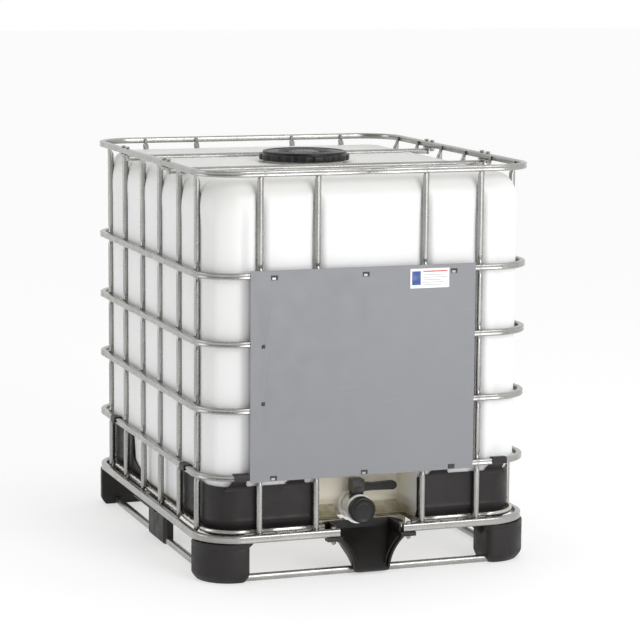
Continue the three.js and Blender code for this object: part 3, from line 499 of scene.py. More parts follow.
SKID_TUBE = 20
SKID_RADIUS = 100
PAN_RADIUS = 88.7
PAN_GAP = 132  # the pan's rim stops here on each side of the valve guard
CROSSING_DENT = 1.1
CROSSING_REACH = 13
BUTT_JOINT_X = -21
BUTT_JOINT_HALF = 9
BOLT_TO_RING_END = 23
STRAIGHT = 0.999  # an outward direction with a larger x or y than this is on a straight side


def sideways(outward):
    """The level direction along a side, anticlockwise as seen from above."""
    return Vector((-outward.y, outward.x, 0))


def on_straight(outward):
    return max(abs(outward.x), abs(outward.y)) > STRAIGHT


def upright_centres(outward):
    """Where the uprights stand along the side that faces outward."""
    return UPRIGHTS_X if abs(outward.y) > abs(outward.x) else UPRIGHTS_Y


def along_side(point, outward):
    return point.x if abs(outward.y) > abs(outward.x) else point.y


def ring_crossings():
    """Places along each side where the path needs points, round each upright."""
    steps = (-CROSSING_REACH, -7, -3, 0, 3, 7, CROSSING_REACH)
    crossings = {}
    for side in OUTWARD:
        centres = UPRIGHTS_X if side in ("front", "rear") else UPRIGHTS_Y
        crossings[side] = [centre + step for centre in centres for step in steps]
    return crossings


def cage_ring(number, ring):
    """A ring of the cage, pressed flat where the uprights cross it."""
    level = RING_LEVELS[number]
    crossings = ring_crossings()
    if number == 0:
        joint = (-BUTT_JOINT_HALF - 1, -BUTT_JOINT_HALF, -1, 0, 1, BUTT_JOINT_HALF, BUTT_JOINT_HALF + 1)
        crossings["front"] += [BUTT_JOINT_X + step for step in joint]
    half = TUBE / 2
    path = loop_path(HALF_X - half, HALF_Y - half, CORNER_RADIUS - half, extra=crossings)
    section = tube_section(half, half, groove=2.4)
    points = []
    for point, outward in path:
        place = along_side(point, outward)
        straight = on_straight(outward)
        centres = upright_centres(outward)
        dent = 0.0
        if straight:
            nearest = min(abs(place - centre) for centre in centres)
            dent = CROSSING_DENT * bump(nearest, CROSSING_REACH)
        squeeze = 1.0
        if number == 0 and straight and outward.y < 0 and abs(place - BUTT_JOINT_X) <= BUTT_JOINT_HALF:
            squeeze = 0.86 if abs(place - BUTT_JOINT_X) < 1 else 0.95
        for out, up in section:
            shift = out * squeeze - (dent if out > 0 else 0)
            points.append(point + outward * shift + Vector((0, 0, level + up * squeeze)))
    faces = grid_faces(len(path), len(section), close_rows=True)
    add_piece(f"{ring}_tube", points, faces, STEEL, (ring,))


def swept(path, section_at):
    """Points of a section carried along a level path. section_at gives (outward, up) pairs."""
    points = []
    for point, outward in path:
        for out, up in section_at(point, outward):
            points.append(point + outward * out + Vector((0, 0, up)))
    return points


def open_at_front(path, half):
    """The path cut open in front, from the right end of the gap round to the left end."""
    def on_front(point, outward):
        return outward.y < -STRAIGHT and abs(point.x) < HALF_X

    edge = half - 0.01
    start = next(i for i, pair in enumerate(path) if on_front(*pair) and pair[0].x > edge)
    path = path[start:] + path[:start]
    return [pair for pair in path if not (on_front(*pair) and abs(pair[0].x) < edge)]


def pallet_ring():
    """The thick tube that the uprights stand on, open where the valve guard is."""
    low, high = span("pallet_ring")
    half, half_high = TUBE / 2, (high.z - low.z) / 2
    gap = -span("guard_bolt_left")[0].x - BOLT_TO_RING_END
    extra = {"front": [-gap, gap]}
    path = open_at_front(loop_path(HALF_X - half, HALF_Y - half, CORNER_RADIUS - half, 20, extra), gap)
    section = [(out, up + (low.z + high.z) / 2) for out, up in tube_section(half, half_high, groove=1.8)]
    points = swept(path, lambda point, outward: section)
    faces = capped(len(path), len(section))
    add_piece("pallet_ring_tube", points, faces, STEEL, ("pallet_ring",))


def skid_ring():
    low, high = span("skid_ring")
    half, half_high = SKID_TUBE / 2, (high.z - low.z) / 2
    path = loop_path(high.x - half, high.y - half, SKID_RADIUS - half, 20)
    section = [(out, up + half_high) for out, up in tube_section(half, half_high, power=2.5)]
    points = swept(path, lambda point, outward: section)
    faces = grid_faces(len(path), len(section), close_rows=True)
    add_piece("skid_ring_tube", points, faces, STEEL, ("skid_ring",))


def pan_rim():
    """The pan's rolled rim: it bulges between the uprights and dips in a vee at each."""
    high = span("bottom_pan")[1]
    steps = (-46, -38, -31, -25, -20, -16, -12, -7, 0, 7, 12, 16, 20, 25, 31, 38, 46)
    extra = {}
    for side in OUTWARD:
        centres = UPRIGHTS_X if side in ("front", "rear") else UPRIGHTS_Y
        limit = (high.x if side in ("front", "rear") else high.y) - PAN_RADIUS
        places = {centre + step for centre in centres for step in steps}
        places |= {(a + b) / 2 + step for a, b in zip(centres, centres[1:]) for step in (-24, -12, 0, 12, 24)}
        extra[side] = [place for place in places if abs(place) < limit]
    extra["front"] += [-PAN_GAP, PAN_GAP]
    path = open_at_front(loop_path(high.x, high.y, PAN_RADIUS, 16, extra), PAN_GAP)
    roll = tube_section(5.4, 7.4, power=2.4, steps=16)

    def section_at(point, outward):
        centres = upright_centres(outward)
        away = min(abs(along_side(point, outward) - centre) for centre in centres)
        straight = on_straight(outward)
        bulge = smooth((away - 8) / 38) if straight else 1.0
        wave = 0
        if abs(outward.x) > STRAIGHT:
            wave = 1.4 * bulge * math.sin(along_side(point, outward) * TAU / 38)
        out, up = mix(-5.2, 6, bulge), mix(136, 140, bulge) + wave
        return [(out + across, up + along) for across, along in roll]

    points = swept(path, section_at)
    faces = capped(len(path), len(roll))
    add_piece("bottom_pan_rim", points, faces, SHEET_STEEL, sharp_degrees=60)


# ---- uprights ----

UPRIGHT_SECTION_STEPS = 20
DIMPLE_AWAY = 19  # the dimples sit this far above and below each crossing
DIMPLE_WIDTH = 11
PINCH_TOP = 34  # the flattened length at the upper end
PINCH_BOTTOM = 24


def upright_levels(low, high):
    """Heights to model an upright at: close together at the crossings and at both ends."""
    levels = {low, high}
    for level in RING_LEVELS[1:]:
        levels |= {level + step for step in (-32, -26, -22, -19, -16, -12, -8, 0, 8, 12, 16, 19, 22, 26, 32)}
    levels |= {high - step for step in (2, 5, 8, 11, 14, 17, 20, 24, 28, PINCH_TOP, 44, 60)}
    levels |= {low + step for step in (4, 9, 14, 19, PINCH_BOTTOM, 34)}
    levels |= {(a + b) / 2 for a, b in zip(RING_LEVELS, RING_LEVELS[1:])}
    return sorted(level for level in levels if low <= level <= high)


def upright_shape(z, low, high, radius):
    """Half width along the side, half depth, outward shift and inner dent at a height."""
    wide, deep, shift, dent = radius, radius, 0.0, 0.0
    for level in RING_LEVELS[1:]:
        dimple = bump(abs(z - level) - DIMPLE_AWAY, DIMPLE_WIDTH)
        wide -= 2.1 * dimple
        deep -= 2.2 * dimple
        deep -= 0.9 * bump(z - level, 9)
    top = smooth((z - (high - PINCH_TOP)) / (PINCH_TOP * 0.6))
    deep = mix(deep, 4.4, top)
    shift = mix(shift, radius - 4.4, top)
    dent = 5.2 * top
    neck = smooth((z - (high - 19)) / 9)
    wide = mix(wide, 4.4, neck)
    dent *= 1 - neck
    foot = smooth(((low + PINCH_BOTTOM) - z) / (PINCH_BOTTOM * 0.8))
    deep = mix(deep, 4.2, foot)
    shift = mix(shift, radius - 4.2, foot)
    wide = mix(wide, radius * 0.82, foot)
    return wide, deep, shift, dent


def upright(node, side):
    low, high = span(node)
    centre = (low + high) / 2
    outward = OUTWARD[side]
    travel = sideways(outward)
    radius = TUBE / 2
    levels = upright_levels(low.z, high.z)
    points = []
    for z in levels:
        wide, deep, shift, dent = upright_shape(z, low.z, high.z, radius)
        for step in range(UPRIGHT_SECTION_STEPS):
            angle = TAU * step / UPRIGHT_SECTION_STEPS
            across = wide * math.cos(angle)
            out = deep * math.sin(angle)
            if out < 0:
                out += dent * max(0.0, 1 - (across / (wide * 0.75)) ** 2)
            points.append(Vector((centre.x, centre.y, z)) + travel * across + outward * (out + shift))
    faces = capped(len(levels), UPRIGHT_SECTION_STEPS)
    add_piece(f"{node}_tube", points, faces, STEEL, (node,), sharp_degrees=50)


def blob(centre, radii, spoke, seed):
    """A small uneven weld bead."""
    chance = random.Random(seed)
    points = []
    rows, columns = 5, 8
    for row in range(rows):
        lift = math.pi * (row + 0.5) / rows - math.pi / 2
        for column in range(columns):
            angle = TAU * column / columns
            scale = 1 + chance.uniform(-0.18, 0.18)
            along = math.cos(lift) * math.cos(angle) * radii[0] * scale
            out = math.cos(lift) * math.sin(angle) * radii[1] * scale
            up = math.sin(lift) * radii[2] * scale
            travel = Vector((-spoke.y, spoke.x, 0))
            points.append(Vector(centre) + travel * along + spoke * out + Vector((0, 0, up)))
    return points, capped(rows, columns)


def weld_beads(number, ring):
    """Resistance-weld squeeze-out above and below a ring at every upright."""
    level = RING_LEVELS[number]
    parts = []
    for side, nodes in UPRIGHTS.items():
        outward = OUTWARD[side]
        face = HALF_Y if side in ("front", "rear") else HALF_X
        for index, node in enumerate(nodes):
            centre = middle(node)
            seat = Vector((centre.x, centre.y, 0))
            seat -= outward * seat.dot(outward)
            seat += outward * (face - TUBE - 0.2)
            ends = (-1, 1) if number else (-1,)
            for end in ends:
                place = seat + Vector((0, 0, level + end * (TUBE / 2 - 0.6)))
                seed = number * 1000 + index * 10 + end + len(parts) * 7
                parts.append(blob(place, (4.2, 2.4, 1.9), outward, seed))
    merged(f"{ring}_weld_beads", parts, STEEL, sharp=60)


def cage():
    for number, ring in enumerate(RINGS):
        cage_ring(number, ring)
        weld_beads(number, ring)
    for side, nodes in UPRIGHTS.items():
        for node in nodes:
            upright(node, side)
    pallet_ring()
    skid_ring()
    pan_rim()


# ---- bottle ----

BOTTLE_LOW, BOTTLE_HIGH = span("bottle")
VALVE_Z = middle("outlet_cap").z
RECESS_HALF = 146
RECESS_BACK = -424
RECESS_TOP = 335
RECESS_ARC = 45
FOOT_INSET = 22
FOOT_ROUND = 26
WIDENS = (270, 293)
GROOVE_DEPTH_LINE = 36.5  # outer face of the cage to the groove floors
SHOULDER_START = 1012
SHOULDER_INSET = 62
TOP_FLAT = 1119  # height of the bottle's top, between the channels
NECK_RADIUS = 117.5
CORNER = 101
PILLOW = 7.5
BAR_CHANNEL = 12


def bottle_inset(z):
    """How far the side stands in from the widest face at a height."""
    above_foot = z - BOTTLE_LOW.z
    inset = FOOT_INSET * (1 - smooth((z - WIDENS[0]) / (WIDENS[1] - WIDENS[0])))
    if above_foot < FOOT_ROUND:
        inset += FOOT_ROUND - math.sqrt(max(0.0, FOOT_ROUND**2 - (FOOT_ROUND - above_foot) ** 2))
    if z > SHOULDER_START:
        t = min(1.0, (z - SHOULDER_START) / (TOP_FLAT - SHOULDER_START))
        inset += SHOULDER_INSET * (1 - math.sqrt(max(0.0, 1 - t**2.4)))
    return inset


def groove(place, centres):
    """1 in the bottom of a groove, 0 on the faces between."""
    nearest = min(abs(place - centre) for centre in centres)
    return 1 - smooth((nearest - 8) / 13)


def pillow(place, centres, half):
    """0 at the grooves and 1 midway between them."""
    stops = sorted([-half, *centres, half])
    for a, b in zip(stops, stops[1:]):
        if a <= place <= b:
            return math.sin(math.pi * (place - a) / (b - a)) ** 0.55
    return 0.0


def recess_half_width(z):
    """Half width of the valve recess at a height: an arch with rounded corners."""
    if z >= RECESS_TOP:
        return 0.0
    up = max(0.0, z - (RECESS_TOP - RECESS_ARC))
    return RECESS_HALF - RECESS_ARC + math.sqrt(max(0.0, RECESS_ARC**2 - up**2))


SIDE_STEPS = {"x": 132, "y": 110}
WALL_STEPS = 14
CORNER_STEPS = 16


def front_places(flat, z):
    """(along, part of the way back) pairs across the front, into the valve recess and out again."""
    half = recess_half_width(z)
    depth = smooth((RECESS_TOP + 3 - z) / 44)
    open_half = half if half > 1 else RECESS_HALF - RECESS_ARC
    count = (SIDE_STEPS["x"] - 2 * WALL_STEPS) // 3
    pairs = []
    for step in range(count):
        pairs.append((mix(-flat, -open_half - 4, step / count), 0.0))
    for step in range(WALL_STEPS):
        t = (step + 0.5) / WALL_STEPS
        slide = 4 * math.cos(math.pi * t) if depth > 0 else 4 * (1 - 2 * t)
        pairs.append((-open_half - slide, depth * smooth(t)))
    back_count = SIDE_STEPS["x"] - 2 * WALL_STEPS - 2 * count
    for step in range(back_count):
        t = (step + 0.5) / back_count
        pairs.append((mix(-open_half + 6, open_half - 6, t), depth))
    for along, into in reversed(pairs[: count + WALL_STEPS]):
        pairs.append((-along, into))
    return pairs


def bottle_outline(z):
    """Points round the bottle at a height, always the same number of them."""
    inset = bottle_inset(z)
    corner = max(30.0, CORNER - inset)
    face_x = BOTTLE_HIGH.x - inset
    face_y = -BOTTLE_LOW.y - inset
    flat_x, flat_y = face_x - corner, face_y - corner
    full_side = smooth((z - WIDENS[0]) / 60) * (1 - smooth((z - SHOULDER_START + 40) / 120))
    groove_top = 1 - smooth((z - TOP_FLAT + 50) / 40)
    cut_x = max(0.0, face_x - (HALF_X - GROOVE_DEPTH_LINE))
    cut_y = max(0.0, face_y - (HALF_Y - GROOVE_DEPTH_LINE))
    points = []

    def side_out(place, centres, half, face, cut):
        swell = PILLOW * full_side * (1 - pillow(place, centres, half))
        return face - max(swell, 0.0) - cut * groove(place, centres) * groove_top

    def corner_arc(sign_x, sign_y, quarter):
        for step in range(1, CORNER_STEPS):
            angle = (quarter + step / CORNER_STEPS) * math.pi / 2
            x = sign_x * flat_x + corner * math.cos(angle)
            y = sign_y * flat_y + corner * math.sin(angle)
            # The corner carries on from the slightly sunk ends of the two sides.
            sunk = PILLOW * full_side * abs(math.cos(2 * (angle - quarter * math.pi / 2)))
            points.append((x - sunk * math.cos(angle), y - sunk * math.sin(angle), z))

    steps_y = [mix(-flat_y, flat_y, step / SIDE_STEPS["y"]) for step in range(SIDE_STEPS["y"] + 1)]
    steps_x = [mix(-flat_x, flat_x, step / SIDE_STEPS["x"]) for step in range(SIDE_STEPS["x"] + 1)]
    for y in steps_y:
        points.append((side_out(y, UPRIGHTS_Y, flat_y, face_x, cut_x), y, z))
    corner_arc(1, 1, 0)
    for x in reversed(steps_x):
        points.append((x, side_out(x, UPRIGHTS_X, flat_x, face_y, cut_y), z))
    corner_arc(-1, 1, 1)
    for y in reversed(steps_y):
        points.append((-side_out(y, UPRIGHTS_Y, flat_y, face_x, cut_x), y, z))
    corner_arc(-1, -1, 2)
    for x, back in front_places(flat_x, z):
        points.append((x, mix(-side_out(x, UPRIGHTS_X, flat_x, face_y, cut_y), RECESS_BACK, back), z))
    corner_arc(1, -1, 3)
    return points


def bottle_levels():
    foot = [BOTTLE_LOW.z + step for step in (0, 0.6, 2, 4, 7, 11, 16, 21, 26)]
    lower = [mix(BOTTLE_LOW.z + 34, WIDENS[0] - 10, step / 7) for step in range(8)]
    step_zone = [mix(WIDENS[0] - 4, WIDENS[1] + 5, step / 12) for step in range(13)]
    arch = [mix(WIDENS[1] + 8, RECESS_TOP + 10, step / 9) for step in range(10)]
    sides = [mix(RECESS_TOP + 20, SHOULDER_START - 40, step / 22) for step in range(23)]
    shoulder = [
        mix(SHOULDER_START - 34, TOP_FLAT, math.sin(step / 16 * math.pi / 2)) for step in range(17)
    ]
    return [*foot, *lower, *step_zone, *arch, *sides, *shoulder]


def top_height(x, y):
    """Height of the bottle's top: nearly flat, with a channel for each cross bar."""
    bar_y = [middle(f"{place}_cross_bar").y for place in ("front", "rear")]
    channel = max(bump(y - centre, 26) for centre in bar_y)
    distance = math.hypot(x, y)
    collar = bump(distance - NECK_RADIUS, 30)
    return TOP_FLAT - BAR_CHANNEL * channel * (1 - collar) - 5 * collar


LEDGE_FROM_X = 56  # the ledge leaves room for the valve
LEDGE_FRONT = -482
APRON_LOW = 108  # the floor's front turns down behind the valve guard to this height
APRON_ROOM = 50  # radius left free round the valve
LEDGE_RISE = 34
FLOOR_SHEET = 2.5


def recess_ledge():
    """The recess's floor: a thin sheet that slopes up beside the valve, and an apron under its front."""
    parts = []
    rows, columns = 12, 10
    for side in (-1, 1):
        points = []
        for row in range(rows):
            t = row / (rows - 1)
            y = mix(LEDGE_FRONT, RECESS_BACK + 4, t)
            z = BOTTLE_LOW.z + 4 + LEDGE_RISE * t**1.8
            upper = []
            for column in range(columns):
                x = side * mix(LEDGE_FROM_X, RECESS_HALF + 3, column / (columns - 1))
                upper.append(Vector((x, y, z + 3 * smooth(column / columns - 0.5))))
            points += upper
            points += [point - Vector((0, 0, FLOOR_SHEET)) for point in reversed(upper)]
        parts.append((points, capped(rows, 2 * columns)))
    columns = 60
    points = []
    for t in (0, 0.5, 1):
        sheet = []
        for column in range(columns):
            x = mix(-RECESS_HALF, RECESS_HALF, column / (columns - 1))
            below_valve = VALVE_Z - math.sqrt(max(APRON_ROOM**2 - x * x, 0))
            sheet.append(Vector((x, LEDGE_FRONT, mix(APRON_LOW, min(BOTTLE_LOW.z + 4, below_valve), t))))
        points += sheet + [point + Vector((0, FLOOR_SHEET, 0)) for point in reversed(sheet)]
    parts.append((points, capped(3, 2 * columns)))
    merged("bottle_recess_floor", parts, OLIVE_STREAKED, sharp=60)


def bottle():
    """The outer skin of the bottle: sides, shoulder, and a top that closes in to the neck."""
    levels = bottle_levels()
    points = [point for z in levels for point in bottle_outline(z)]
    count = len(points) // len(levels)
    rim = points[-count:]
    top_rows = 26
    for row in range(1, top_rows + 1):
        t = row / top_rows
        for x, y, z in rim:
            angle = math.atan2(y, x)
            target = NECK_RADIUS - 1
            px = mix(x, target * math.cos(angle), t)
            py = mix(y, target * math.sin(angle), t)
            rise = smooth(t * 6)
            points.append((px, py, mix(z, top_height(px, py), rise)))
    neck_rows = [(NECK_RADIUS - 1, 1128), (NECK_RADIUS - 1.6, 1132), (NECK_RADIUS - 5, 1133)]
    for radius, z in neck_rows:
        for x, y, _ in rim:
            angle = math.atan2(y, x)
            points.append((radius * math.cos(angle), radius * math.sin(angle), z))
    rows = len(levels) + top_rows + len(neck_rows)
    faces = capped(rows, count)
    add_piece("bottle_skin", points, faces, BOTTLE, ("bottle",), sharp_degrees=60)


# ---- lid ----


def fill_lid():
    low, high = span("fill_lid")
    outer = high.x
    disc = outer - 11
    ring_top = low.z + 18
    ribs = 18
    steps = ribs * 16
    points = []
    profile = [
        (outer - 14, low.z), (outer - 2.2, low.z), (outer - 0.6, low.z + 1), (outer, low.z + 3),
        (outer, ring_top - 3), (outer - 0.8, ring_top - 1), (outer - 2.6, ring_top),
        (disc + 2, ring_top), (disc + 0.4, ring_top + 0.6), (disc, ring_top + 2),
        (disc, high.z - 2.4), (disc - 0.6, high.z - 0.8), (disc - 2, high.z - 0.2),
        (disc - 7, high.z), (disc - 9, high.z - 0.4), (disc - 10.5, high.z - 2.2),
        (disc - 34, high.z - 2.4), (disc - 36, high.z - 1.4), (disc - 40, high.z - 1.4),
        (disc - 42, high.z - 2.6), (40, high.z - 2.8), (36, high.z - 1.6), (12, high.z - 1.4),
        (0.5, high.z - 1.4),
    ]
    for step in range(steps):
        angle = TAU * step / steps
        phase = (step / steps * ribs) % 1.0
        notch = 3.4 * smooth((abs(phase - 0.5) * 2 - 0.5) / 0.22)
        for radius, z in profile:
            gripped = radius > disc + 2.5 and z < ring_top + 0.1
            r = radius - (notch if gripped else 0)
            points.append((r * math.cos(angle), r * math.sin(angle), z))
    rows = len(profile)
    faces = []
    for step in range(steps):
        after = (step + 1) % steps
        for row in range(rows - 1):
            here, there = step * rows + row, after * rows + row
            faces.append((here, there, there + 1, here + 1))
    underside = tuple(reversed([step * rows for step in range(steps)]))
    cap = tuple(step * rows + rows - 1 for step in range(steps))
    faces += [underside, cap]
    add_piece("fill_lid_shell", points, faces, LID_BLACK, ("fill_lid",), "lid", 40)
    spokes = []
    for step in range(16):
        angle = TAU * (step + 0.5) / 16
        spoke = Vector((math.cos(angle), math.sin(angle), 0))
        across = Vector((-spoke.y, spoke.x, 0))
        block_points = []
        for radius in (46, disc - 46):
            for side in (-1.6, 1.6):
                for z in (high.z - 3.4, high.z - 1.6):
                    block_points.append(spoke * radius + across * side + Vector((0, 0, z)))
        spokes.append((block_points, BOX_FACES))
    merged("fill_lid_ribs", spokes, LID_BLACK, body="lid")


# ---- corner protectors ----

PROTECTOR_OUT = {"x": 459.6, "y": 559.6}  # outer face of the wall, from the middle planes
PROTECTOR_RADIUS = 85.5
PROTECTOR_WALL = 3.6
PROTECTOR_LOW = 142
PROTECTOR_HIGH = 267
WING_END_X = 150
WING_END_Y = 262
REAR_WING_FOOT = 135  # the rear protectors' side wings run further forward at the bottom
FRONT_WING_FOOT = 14
CREASE = 171  # height of the crease, below which the wall turns in under the bottle
HOOK_XS = (216, 387)  # tabs on the front and the rear; the first stays behind the plate
HOOK_Y = {"front": 405, "rear": 340}


def wall_out(z):
    """How far the protector's wall leans out from its plane at a height."""
    tuck = -9 * (1 - smooth((z - PROTECTOR_LOW) / (CREASE - PROTECTOR_LOW - 3)))
    return tuck + 1.4 * bump(z - CREASE, 6) - 0.7 * bump(z - 250, 30)


def wing_end(z, foot):
    """Where a side wing's edge is at a height: upright above, and sweeping forward at the foot."""
    return WING_END_Y - foot * (1 - smooth((z - PROTECTOR_LOW - 6) / 64)) ** 1.6


def protector_wall(foot):
    """(points, faces) of the wall of the front right protector, inner skin and all."""
    heights = [0, 4, 8, 12, 16, 20, 24, 27, 29, 31, 34, 40, 52, 68, 84, 98, 108, 116, 121, 125]
    flat_x = PROTECTOR_OUT["x"] - PROTECTOR_RADIUS
    flat_y = PROTECTOR_OUT["y"] - PROTECTOR_RADIUS
    columns = [("front", step / 20) for step in range(20)]
    columns += [("corner", step / 16) for step in range(16)]
    columns += [("side", step / 24) for step in range(25)]
    points = []
    for part, t in columns:
        end = max(0.0, t - 0.94) / 0.06 if part == "side" else max(0.0, 0.04 - t) / 0.04 * (part == "front")
        drop = 9 * (1 - math.sqrt(max(0.0, 1 - end**2)))
        section = []
        for height in heights:
            z = PROTECTOR_LOW + height * (PROTECTOR_HIGH - drop - PROTECTOR_LOW) / heights[-1]
            out = wall_out(z)
            if part == "front":
                place = Vector((mix(WING_END_X, flat_x, t), -PROTECTOR_OUT["y"], z))
                outward = OUTWARD["front"]
            elif part == "side":
                place = Vector((PROTECTOR_OUT["x"], -mix(flat_y, wing_end(z, foot), t), z))
                outward = OUTWARD["right"]
            else:
                angle = (t - 1) * math.pi / 2
                outward = Vector((math.cos(angle), math.sin(angle), 0))
                place = Vector((flat_x, -flat_y, z)) + outward * PROTECTOR_RADIUS
            section.append((place + outward * out, outward))
        points += [place for place, outward in section]
        points += [place - outward * PROTECTOR_WALL for place, outward in reversed(section)]
    return points, capped(len(columns), 2 * len(heights))


def hook_strip(along, wall, ring_face, hooked):
    """(points, faces) of a tab that bends out over the bottle's step and hooks over the ring.

    It is drawn on the front, at x = along, and turned to its side by its caller.
    """
    route = [(wall - 1.8, 256), (wall - 1.6, 262), (wall - 0.4, 268), (wall + 5, 274), (wall + 12, 280)]
    route += [(wall + 17.4, 286), (wall + 19.2, 292), (wall + 19.6, 300)]
    if hooked:
        top = RING_LEVELS[4] + TUBE / 2 + 1.6
        route += [(wall + 19.8, top - 3.5), (wall + 21.2, top - 0.8), (wall + 24, top), (ring_face - 6, top)]
        route += [(ring_face - 1, top - 0.2), (ring_face + 1.3, top - 1.8), (ring_face + 1.8, top - 5)]
        route += [(ring_face + 1.7, top - 14), (ring_face + 1.5, top - 17)]
    points = []
    for index, (out, z) in enumerate(route):
        half = 22 + 15 * (1 - smooth((z - 256) / 24)) if index < 6 else 22
        before, after = route[max(index - 1, 0)], route[min(index + 1, len(route) - 1)]
        slope = Vector((after[0] - before[0], after[1] - before[1])).normalized()
        for side, sheet in ((-1, -1.3), (1, -1.3), (1, 1.3), (-1, 1.3)):
            depth = out + slope.y * sheet
            points.append(Vector((along + side * half, -depth, z - slope.x * sheet)))
    return points, capped(len(route), 4)


def corner_protectors():
    for place, side_x, side_y in CORNERS:
        foot = FRONT_WING_FOOT if side_y < 0 else REAR_WING_FOOT
        points, faces = protector_wall(foot)
        parts = [(points, faces)]
        for number, x in enumerate(HOOK_XS):
            parts.append(hook_strip(x, PROTECTOR_OUT["y"], HALF_Y, number == 1))
        hook_y = -HOOK_Y["front" if side_y < 0 else "rear"]
        strip, strip_faces = hook_strip(hook_y, PROTECTOR_OUT["x"], HALF_X, True)
        parts.append(([Vector((-point.y, point.x, point.z)) for point in strip], strip_faces))
        mirrored = []
        for part, part_faces in parts:
            mirrored.append(([(p.x * side_x, p.y * -side_y, p.z) for p in part], part_faces))
        name = f"{place}_protector"
        piece = merged(f"{name}_shell", mirrored, BLACK, (name,), sharp=40)
        rounded_edges(piece, 0.9, 2)


# ---- feet ----

CORNERS = [("front_left", -1, -1), ("front_right", 1, -1), ("rear_left", -1, 1), ("rear_right", 1, 1)]
FOOT_RADIUS = 108
SOLE_HEIGHT = 24
SOLE_INSET = 15
GUSSET_REACH = 38
GUSSET_DROP = 38
INNER_EDGE_RADIUS = 20


def foot_inset(z, top):
    """How far the foot stands in from its outer face at a height."""
    rounded = SOLE_INSET * (1 - min(z / SOLE_HEIGHT, 1)) ** 1.6
    return rounded + 0.9 * bump(z - 98, 1.6) + 1.6 * smooth((z - top + 2) / 2)


def corner_foot(place, side_x, side_y):
    """A foot with a broad rounded lower edge, and gussets under the ring."""
    low, high = span(f"{place}_foot")
    outer = Vector((max(abs(low.x), abs(high.x)), max(abs(low.y), abs(high.y))))
    inner = Vector((min(abs(low.x), abs(high.x)), min(abs(low.y), abs(high.y))))
    levels = [0, 1.5, 4, 8, 12, 16, 20, SOLE_HEIGHT, 30]
    levels += [60, 95.6, 97, 98, 99, 100.4, high.z - 2, high.z - 1, high.z]
    points = []
    for z in levels:
        inset = foot_inset(z, high.z)
        inside = inner + Vector((1, 1)) * inset * 0.55
        radius = FOOT_RADIUS - inset
        flat = outer - Vector((1, 1)) * FOOT_RADIUS
        outline = []
        reach = INNER_EDGE_RADIUS
        for step in range(7):
            angle = math.pi - step / 6 * math.pi / 2
            arc_x = inside.x + reach + reach * math.cos(angle)
            arc_y = outer.y - inset - reach + reach * math.sin(angle)
            outline.append((arc_x, arc_y))
        for step in range(17):
            angle = (1 - step / 16) * math.pi / 2
            outline.append((flat.x + radius * math.cos(angle), flat.y + radius * math.sin(angle)))
        outline += [(outer.x - inset, min(inside.y, flat.y - 1)), (inside.x, min(inside.y, flat.y - 1))]
        points += [(x * side_x, y * side_y, z) for x, y in outline]
    parts = [(points, capped(len(levels), len(outline)))]
    def web(edge):
        return [(edge + 2, high.z - 2), (edge - GUSSET_REACH, high.z - 2), (edge + 2, high.z - GUSSET_DROP)]

    for deep in (56, 70):
        across = [(x, outer.y - deep, z) for x, z in web(inner.x)]
        parts.append(web_part(across, (0, -5, 0), side_x, side_y))
        along = [(outer.x - deep, y, z) for y, z in web(inner.y)]
        parts.append(web_part(along, (-5, 0, 0), side_x, side_y))
    plates = [
        ((inner.x - GUSSET_REACH, outer.y - 78, high.z - 5), (inner.x + 4, outer.y - 52, high.z - 0.2)),
        ((outer.x - 78, inner.y - GUSSET_REACH, high.z - 5), (outer.x - 52, inner.y + 4, high.z - 0.2)),
    ]
    for corner_low, corner_high in plates:
        plate_points, plate_faces = box_part(corner_low, corner_high)
        parts.append(([(x * side_x, y * side_y, z) for x, y, z in plate_points], plate_faces))
    piece = merged(f"{place}_foot_shell", parts, BLACK, (f"{place}_foot",), sharp=40)
    rounded_edges(piece, 1.3, 2)


MID_FOOT_HALF = 91
MID_FOOT_CHAMFER = 13
MID_FOOT_DEPTH = 28
MID_FLANGE_HALF = 110


def mid_foot(side):
    """A chamfered block that clasps the skid tube and widens upwards, under a flat flange."""
    node = f"{side}_mid_foot"
    high = span(node)[1]
    outward = OUTWARD[side]
    travel = sideways(outward)
    skid_high = span("skid_ring")[1]
    ring_face = HALF_Y - 1 if side == "rear" else HALF_X - 1
    face = (skid_high.y if side == "rear" else skid_high.x) + 5

    def placed(points):
        return [travel * along + outward * out + Vector((0, 0, z)) for along, out, z in points]

    levels = [0, 1, 3, 6, 40, 60, 72, 82, 90, 97, 103, high.z - 1.5, high.z - 0.5]
    block = []
    for z in levels:
        inset = 3 * (1 - smooth(z / 5))
        half, front = MID_FOOT_HALF - inset, face - inset
        back = face - MID_FOOT_DEPTH - 16 * smooth((z - 60) / 46) + inset
        flare = 10 * smooth((z - 74) / 36)
        outline = [(-half + MID_FOOT_CHAMFER, front), (half - MID_FOOT_CHAMFER, front), (half, front - 9)]
        outline += [(half + flare, back), (-half - flare, back), (-half, front - 9)]
        block += placed([(along, out, z) for along, out in outline])
    parts = [(block, capped(len(levels), 6))]
    plate, plate_faces = box_part(
        (-MID_FLANGE_HALF, face - MID_FOOT_DEPTH - 14, high.z - 6), (MID_FLANGE_HALF, ring_face, high.z - 0.2)
    )
    parts.append((placed(plate), plate_faces))
    piece = merged(f"{node}_shell", parts, BLACK, (node,), sharp=40)
    rounded_edges(piece, 1.6, 2)


def web_part(corners, depth, side_x, side_y):
    """(points, faces) of a flat web with three corners, as thick as depth says."""
    both = [Vector(corner) for corner in corners] + [Vector(corner) + Vector(depth) for corner in corners]
    points = [(point.x * side_x, point.y * side_y, point.z) for point in both]
    return points, [(0, 1, 2), (5, 4, 3), (0, 3, 4, 1), (1, 4, 5, 2), (2, 5, 3, 0)]


# ---- valve, cap, lever and guard ----

STEM_Y = middle("valve_disc").y


